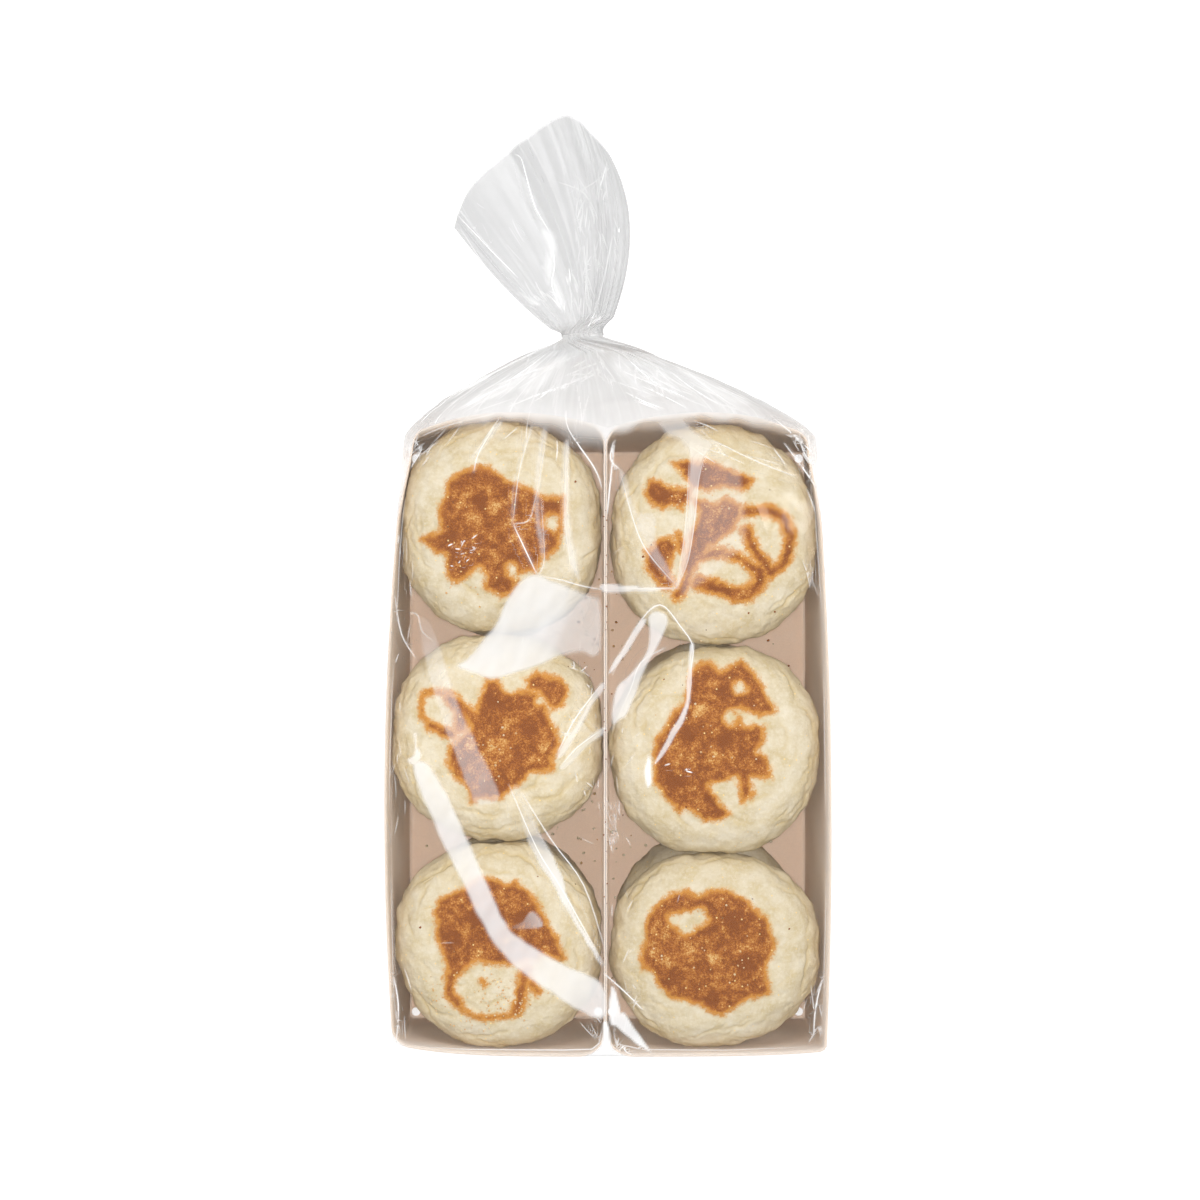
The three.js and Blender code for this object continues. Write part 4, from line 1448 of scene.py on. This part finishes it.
class Nodes:
    """A material's node tree. Its calls take values or outputs of nodes, and give an output."""

    def __init__(self, name):
        self.material = bpy.data.materials.new(name)
        self.material.use_nodes = True
        self.tree = self.material.node_tree
        self.tree.nodes.clear()
        self.shader = self.add("ShaderNodeBsdfPrincipled")
        surface = self.add("ShaderNodeOutputMaterial")
        self.feed(surface.inputs["Surface"], self.shader.outputs["BSDF"])

    def add(self, kind, **settings):
        """A new node with its settings."""
        node = self.tree.nodes.new(kind)
        for key, value in settings.items():
            setattr(node, key, value)
        return node

    def feed(self, socket, item):
        """Sets an input to a value, or joins an output to it."""
        if isinstance(item, bpy.types.NodeSocket):
            self.tree.links.new(item, socket)
        else:
            socket.default_value = item

    def set(self, name, item):
        """Feeds an input of the shader."""
        self.feed(self.shader.inputs[name], item)

    def place(self):
        """The place on the piece."""
        return self.add("ShaderNodeTexCoord").outputs["Object"]

    def noise(self, feature_mm, detail, roughness=0.55, kind="FBM"):
        """Noise with features of about that many millimetres."""
        node = self.add("ShaderNodeTexNoise", noise_type=kind)
        node.inputs["Scale"].default_value = 1 / (feature_mm * MM)
        node.inputs["Detail"].default_value = detail
        node.inputs["Roughness"].default_value = roughness
        self.feed(node.inputs["Vector"], self.place())
        return node.outputs["Fac"]

    def math(self, operation, *items, clamped=False):
        """The result of some arithmetic."""
        node = self.add("ShaderNodeMath", operation=operation, use_clamp=clamped)
        for socket, item in zip(node.inputs, items):
            self.feed(socket, item)
        return node.outputs[0]

    def scaled(self, item, gain, offset):
        """An item times gain plus offset."""
        return self.math("MULTIPLY_ADD", item, gain, offset)

    def total(self, item, *others):
        """All the items added up."""
        for other in others:
            item = self.math("ADD", item, other)
        return item

    def ramp(self, item, stops):
        """A colour ramp over an item."""
        node = self.add("ShaderNodeValToRGB")
        set_stops(node.color_ramp, stops)
        self.feed(node.inputs["Fac"], item)
        return node.outputs["Color"]

    def attribute(self, name):
        """The outputs of one of the mesh's colour attributes."""
        return self.add("ShaderNodeAttribute", attribute_type="GEOMETRY", attribute_name=name).outputs

    def split(self, colour):
        """The parts of a colour."""
        node = self.add("ShaderNodeSeparateColor")
        self.feed(node.inputs["Color"], colour)
        return node.outputs

    def mix(self, factor, a, b, blend="MIX"):
        """Two colours mixed."""
        node = self.add("ShaderNodeMix", data_type="RGBA", blend_type=blend, clamp_factor=True)
        for number, item in ((0, factor), (6, opaque(a)), (7, opaque(b))):
            self.feed(node.inputs[number], item)
        return node.outputs[2]

    def bump(self, height, distance_mm, strength):
        """Fine relief on the shader."""
        node = self.add("ShaderNodeBump")
        node.inputs["Strength"].default_value = strength
        node.inputs["Distance"].default_value = distance_mm * MM
        self.feed(node.inputs["Height"], height)
        self.set("Normal", node.outputs["Normal"])


# Cornmeal and burnt grains: how far apart they may lie, and above which draw one is there.
GRAIN_SPACING = 2.6
MEAL_DRAW = 0.72
BURNT_DRAW = 0.988
CREAM = srgb(224, 212, 186)
CREAM_SHADE = srgb(208, 190, 150)
FLOUR = srgb(236, 228, 212)
CREASE_SHADE = srgb(208, 186, 138)
GOLD_PALE = srgb(220, 180, 116)
GOLD = srgb(204, 140, 58)
HALO = srgb(220, 174, 98)
TOAST_EDGE = srgb(190, 114, 42)
TOAST_LIGHT = srgb(198, 134, 62)
TOAST = srgb(168, 99, 36)
TOAST_DARK = srgb(136, 74, 24)
CORNMEAL = srgb(244, 214, 146)
SPECK = srgb(110, 74, 42)
BLACK = (0.0, 0.0, 0.0)
WHITE = (1.0, 1.0, 1.0)
HALF_GREY = (0.5, 0.5, 0.5)

# How much darker a toasted patch is just inside its edge, before and past that, and deep inside.
NO_RING = (0.2, 0.2, 0.2)
RING = (0.5, 0.5, 0.5)
PALE_MIDDLE = (0.14, 0.14, 0.14)

# How far the toast covers the pale skin, by the depth inside a patch's edge.
COVER_STOPS = [(0.31, BLACK), (0.4, (0.3, 0.3, 0.3)), (0.48, (0.8, 0.8, 0.8)), (0.55, WHITE)]

# The board's colour from the floor to the rim: warmer and lighter low down, painted warm light bounced from
# the muffins and painted light that lifts the shade deep in the trays.
BOARD_AND_BOUNCE_STOPS = [(0.0, srgb(247, 220, 200)), (0.5, srgb(247, 226, 209)), (1.0, srgb(227, 210, 195))]


def make_muffin_skin():
    """Floury bread skin, toasted where it lay on the griddle."""
    m = Nodes("muffin_skin")
    baked = m.attribute("bake")
    bake = m.split(baked["Color"])
    broad = m.noise(9.0, 4.0)
    fine = m.noise(0.7, 4.0, 0.6)
    medium = m.noise(2.2, 3.0, 0.6)
    mottle = m.noise(4.5, 5.0, 0.6)
    flour = m.noise(1.4, 5.0, 0.7)
    patchy = m.ramp(broad, [(0.36, CREAM), (0.66, CREAM_SHADE)])
    floured = m.ramp(flour, [(0.46, BLACK), (0.72, HALF_GREY)])
    pale = m.mix(floured, patchy, FLOUR)
    # Painted shade in the skin's creases and on its rounded side.
    pale = m.mix(bake["Blue"], pale, CREASE_SHADE)
    frayed = m.scaled(fine, 0.36, -0.18)
    ragged = m.scaled(medium, 0.3, -0.15)
    edge = m.total(bake["Red"], frayed, ragged)
    fringe = m.ramp(edge, [(0.36, HALO), (0.47, GOLD), (0.6, GOLD), (0.7, TOAST_EDGE)])
    tone = m.scaled(bake["Green"], 1.0, -0.5)
    grain = m.scaled(fine, 1.7, -0.85)
    blots = m.scaled(medium, 0.7, -0.35)
    spread = m.scaled(mottle, 1.5, -0.35)
    ring = m.ramp(edge, [(0.52, NO_RING), (0.66, RING), (0.84, NO_RING), (1.0, PALE_MIDDLE)])
    heat = m.total(spread, tone, grain, blots, m.scaled(ring, -0.5, 0.1))
    core = m.ramp(heat, [(0.22, TOAST_DARK), (0.5, TOAST), (0.75, TOAST_LIGHT), (1.0, GOLD_PALE)])
    deep = m.ramp(edge, [(0.56, BLACK), (0.74, WHITE)])
    toast = m.mix(deep, fringe, core)
    skin = m.mix(m.ramp(edge, COVER_STOPS), pale, toast)
    grains = m.add("ShaderNodeTexVoronoi")
    grains.inputs["Scale"].default_value = 1 / (GRAIN_SPACING * MM)
    m.feed(grains.inputs["Vector"], m.place())
    dots = m.ramp(grains.outputs["Distance"], [(0.1, WHITE), (0.16, BLACK)])
    picked = m.split(grains.outputs["Color"])
    for part, draw, colour in (("Red", MEAL_DRAW, CORNMEAL), ("Green", BURNT_DRAW, SPECK)):
        chosen = m.math("GREATER_THAN", picked[part], draw)
        skin = m.mix(m.math("MULTIPLY", dots, chosen), skin, colour)
    # Painted shade: the alpha part darkens each muffin's colour as a whole.
    m.set("Base Color", m.mix(1.0, skin, baked["Alpha"], "MULTIPLY"))
    m.set("Roughness", 0.6)
    m.set("Specular IOR Level", 0.3)
    wrinkles = m.noise(5.0, 4.0, 0.6, "RIDGED_MULTIFRACTAL")
    folds = m.scaled(wrinkles, 0.6, 0.0)
    hills = m.scaled(broad, 2.2, 0.0)
    m.bump(m.total(m.scaled(fine, 0.4, 0.0), mottle, hills, folds), 0.5, 0.8)
    return m.material


def make_board():
    """Plain pale paperboard with a faint fibre, warmer and lighter towards the floor: painted bounce light.
    """
    m = Nodes("tray_board")
    fibre = m.noise(0.7, 4.0)
    broad = m.noise(30.0, 2.0)
    split = m.add("ShaderNodeSeparateXYZ")
    m.feed(split.inputs["Vector"], m.place())
    level = m.math("DIVIDE", split.outputs["Z"], RIM_HEIGHT * MM)
    shade = m.scaled(broad, 0.12, 0.88)
    speckle = m.scaled(fibre, 0.14, 0.92)
    tint = m.math("MULTIPLY", shade, speckle)
    # Painted bounce light: the ramp warms and lightens the board towards the floor.
    m.set("Base Color", m.mix(1.0, m.ramp(level, BOARD_AND_BOUNCE_STOPS), tint, "MULTIPLY"))
    m.set("Roughness", 0.75)
    m.set("Specular IOR Level", 0.25)
    m.set("Subsurface Weight", 0.5)
    m.set("Subsurface Radius", (1.0, 0.96, 0.92))
    m.set("Subsurface Scale", 1.5 * MM)
    m.bump(fibre, 0.05, 0.5)
    return m.material


FILM_BASE_ALPHA = 0.045
LINE_HALF_WIDTH = 0.4
# The white of the painted highlights along the film's creases.
HIGHLIGHT_WHITE = (0.98, 0.98, 0.98)


def make_film():
    """Clear glossy film, milky where it is gathered, with painted glare where it catches the light and
    painted highlights along its creases.
    """
    m = Nodes("clear_film")
    veil = m.split(m.attribute("veil")["Color"])
    line = m.split(m.attribute("line")["Color"])
    facing = m.add("ShaderNodeLayerWeight")
    facing.inputs["Blend"].default_value = 0.35
    grazing = m.math("POWER", facing.outputs["Facing"], 3.0)
    grazing = m.scaled(grazing, 0.35, FILM_BASE_ALPHA)
    half = LINE_HALF_WIDTH / (2 * LINE_SPAN)
    stops = [(0.5 - half, BLACK), (0.5 - 0.4 * half, WHITE), (0.5 + 0.4 * half, WHITE), (0.5 + half, BLACK)]
    # Painted highlight: a thin bright white line down the middle of each line of the film.
    across = m.ramp(line["Red"], stops)
    painted_highlight = m.math("MULTIPLY", across, line["Green"])
    haze_glare_and_highlight = m.math("MAXIMUM", painted_highlight, veil["Red"])
    cover = m.math("ADD", grazing, haze_glare_and_highlight, clamped=True)
    plain = m.scaled(across, -1.0, 1.0)
    gloss = m.math("MULTIPLY", m.math("DIVIDE", grazing, cover), plain)
    white = m.ramp(veil["Green"], [(0.0, BLACK), (1.0, WHITE)])
    m.set("Alpha", cover)
    m.set("Metallic", gloss)
    m.set("Base Color", m.mix(painted_highlight, white, HIGHLIGHT_WHITE))
    m.set("Roughness", m.scaled(veil["Red"], 0.5, 0.08))
    m.set("Specular IOR Level", 0.5)
    m.bump(m.noise(5.0, 2.0), 0.06, 0.5)
    return m.material


def make_stage_floor():
    """Plain matte white that lights itself a little."""
    m = Nodes("stage_floor")
    m.set("Base Color", opaque(HALF_GREY))
    m.set("Roughness", 0.9)
    m.set("Specular IOR Level", 0.0)
    m.set("Emission Color", opaque(WHITE))
    m.set("Emission Strength", 0.6)
    return m.material


# ---------------------------------------------------------------- studio


def make_camera():
    """The camera looks straight down at the pack."""
    data = bpy.data.cameras.new("camera")
    data.lens = LENS
    data.sensor_width = SENSOR
    data.sensor_height = SENSOR
    data.sensor_fit = "HORIZONTAL"
    data.clip_start = 0.01
    data.clip_end = 50
    camera = bpy.data.objects.new("camera", data)
    camera.location = Vector(CAMERA_PLACE) * MM
    bpy.context.scene.collection.objects.link(camera)
    bpy.context.scene.camera = camera


def square_light(name, size, power):
    """A square light that faces down until it is turned."""
    data = bpy.data.lights.new(name, "AREA")
    data.shape = "SQUARE"
    data.size = size
    data.energy = power
    box = bpy.data.objects.new(name, data)
    bpy.context.scene.collection.objects.link(box)
    return box


def make_softbox(softbox):
    """A square light that looks at the pack."""
    box = square_light(softbox.name, softbox.size, softbox.power)
    polar = math.radians(softbox.from_zenith)
    turn = math.radians(softbox.azimuth)
    place = Vector((math.sin(polar) * math.cos(turn), math.sin(polar) * math.sin(turn), math.cos(polar)))
    box.location = place * softbox.distance + Vector(LIT_PLACE) * MM
    box.rotation_euler = place.to_track_quat("Z", "Y").to_euler()


def make_overhead():
    """A small box close above the camera, which reaches the floors of the trays."""
    box = square_light("overhead_box", OVERHEAD_SIZE, OVERHEAD_POWER)
    box.location = (Vector(CAMERA_PLACE) + Vector((0, 0, OVERHEAD_BEHIND))) * MM
    box.visible_glossy = False


def make_sky():
    """A bright surround that is darker overhead."""
    world = bpy.data.worlds.new("surround")
    bpy.context.scene.world = world
    world.use_nodes = True
    tree = world.node_tree
    coords = tree.nodes.new("ShaderNodeTexCoord")
    split = tree.nodes.new("ShaderNodeSeparateXYZ")
    ramp = tree.nodes.new("ShaderNodeValToRGB")
    set_stops(ramp.color_ramp, [(position, (value,) * 3) for position, value in SKY_STOPS])
    tree.links.new(coords.outputs["Generated"], split.inputs[0])
    tree.links.new(split.outputs["Z"], ramp.inputs["Fac"])
    tree.links.new(ramp.outputs["Color"], tree.nodes["Background"].inputs["Color"])
    tree.nodes["Background"].inputs["Strength"].default_value = 1.0


def make_stage():
    """The round floor that the pack lies on."""
    bm = bmesh.new()
    bmesh.ops.create_circle(bm, cap_ends=True, segments=96, radius=STAGE_RADIUS)
    mesh = bpy.data.meshes.new("stage_floor")
    bm.to_mesh(mesh)
    bm.free()
    floor = bpy.data.objects.new("stage_floor", mesh)
    bpy.context.scene.collection.objects.link(floor)
    mesh.materials.append(make_stage_floor())


bpy.context.scene.view_settings.view_transform = "Standard"
make_camera()
make_sky()
for softbox in SOFTBOXES:
    make_softbox(softbox)
make_overhead()
make_stage()

muffin_skin = make_muffin_skin()
board = make_board()
film = make_film()

make_tray("tray_left", -1)
make_tray("tray_right", 1)
upper_pieces = []
for number, upper in enumerate(UPPER_MUFFINS):
    upper_name = "muffin_upper_" + upper.name
    upper_pieces.append(make_muffin(upper_name, upper, UPPER_LAYER, UPPER_SEED + number, SHADE_DIMMING[number]))
    across, along = LOWER_SHIFTS[number]
    lower = upper._replace(x=upper.x + across, y=upper.y + along, radii=[LOWER_RADIUS] * len(upper.radii))
    make_muffin("muffin_lower_" + upper.name, lower, LOWER_LAYER, LOWER_SEED + number, LOWER_SHADE_DIMMING)
bpy.context.view_layer.update()
make_crumbs(upper_pieces)
make_film_top()
make_film_wrap()
make_film_gathered()
make_film_fan()
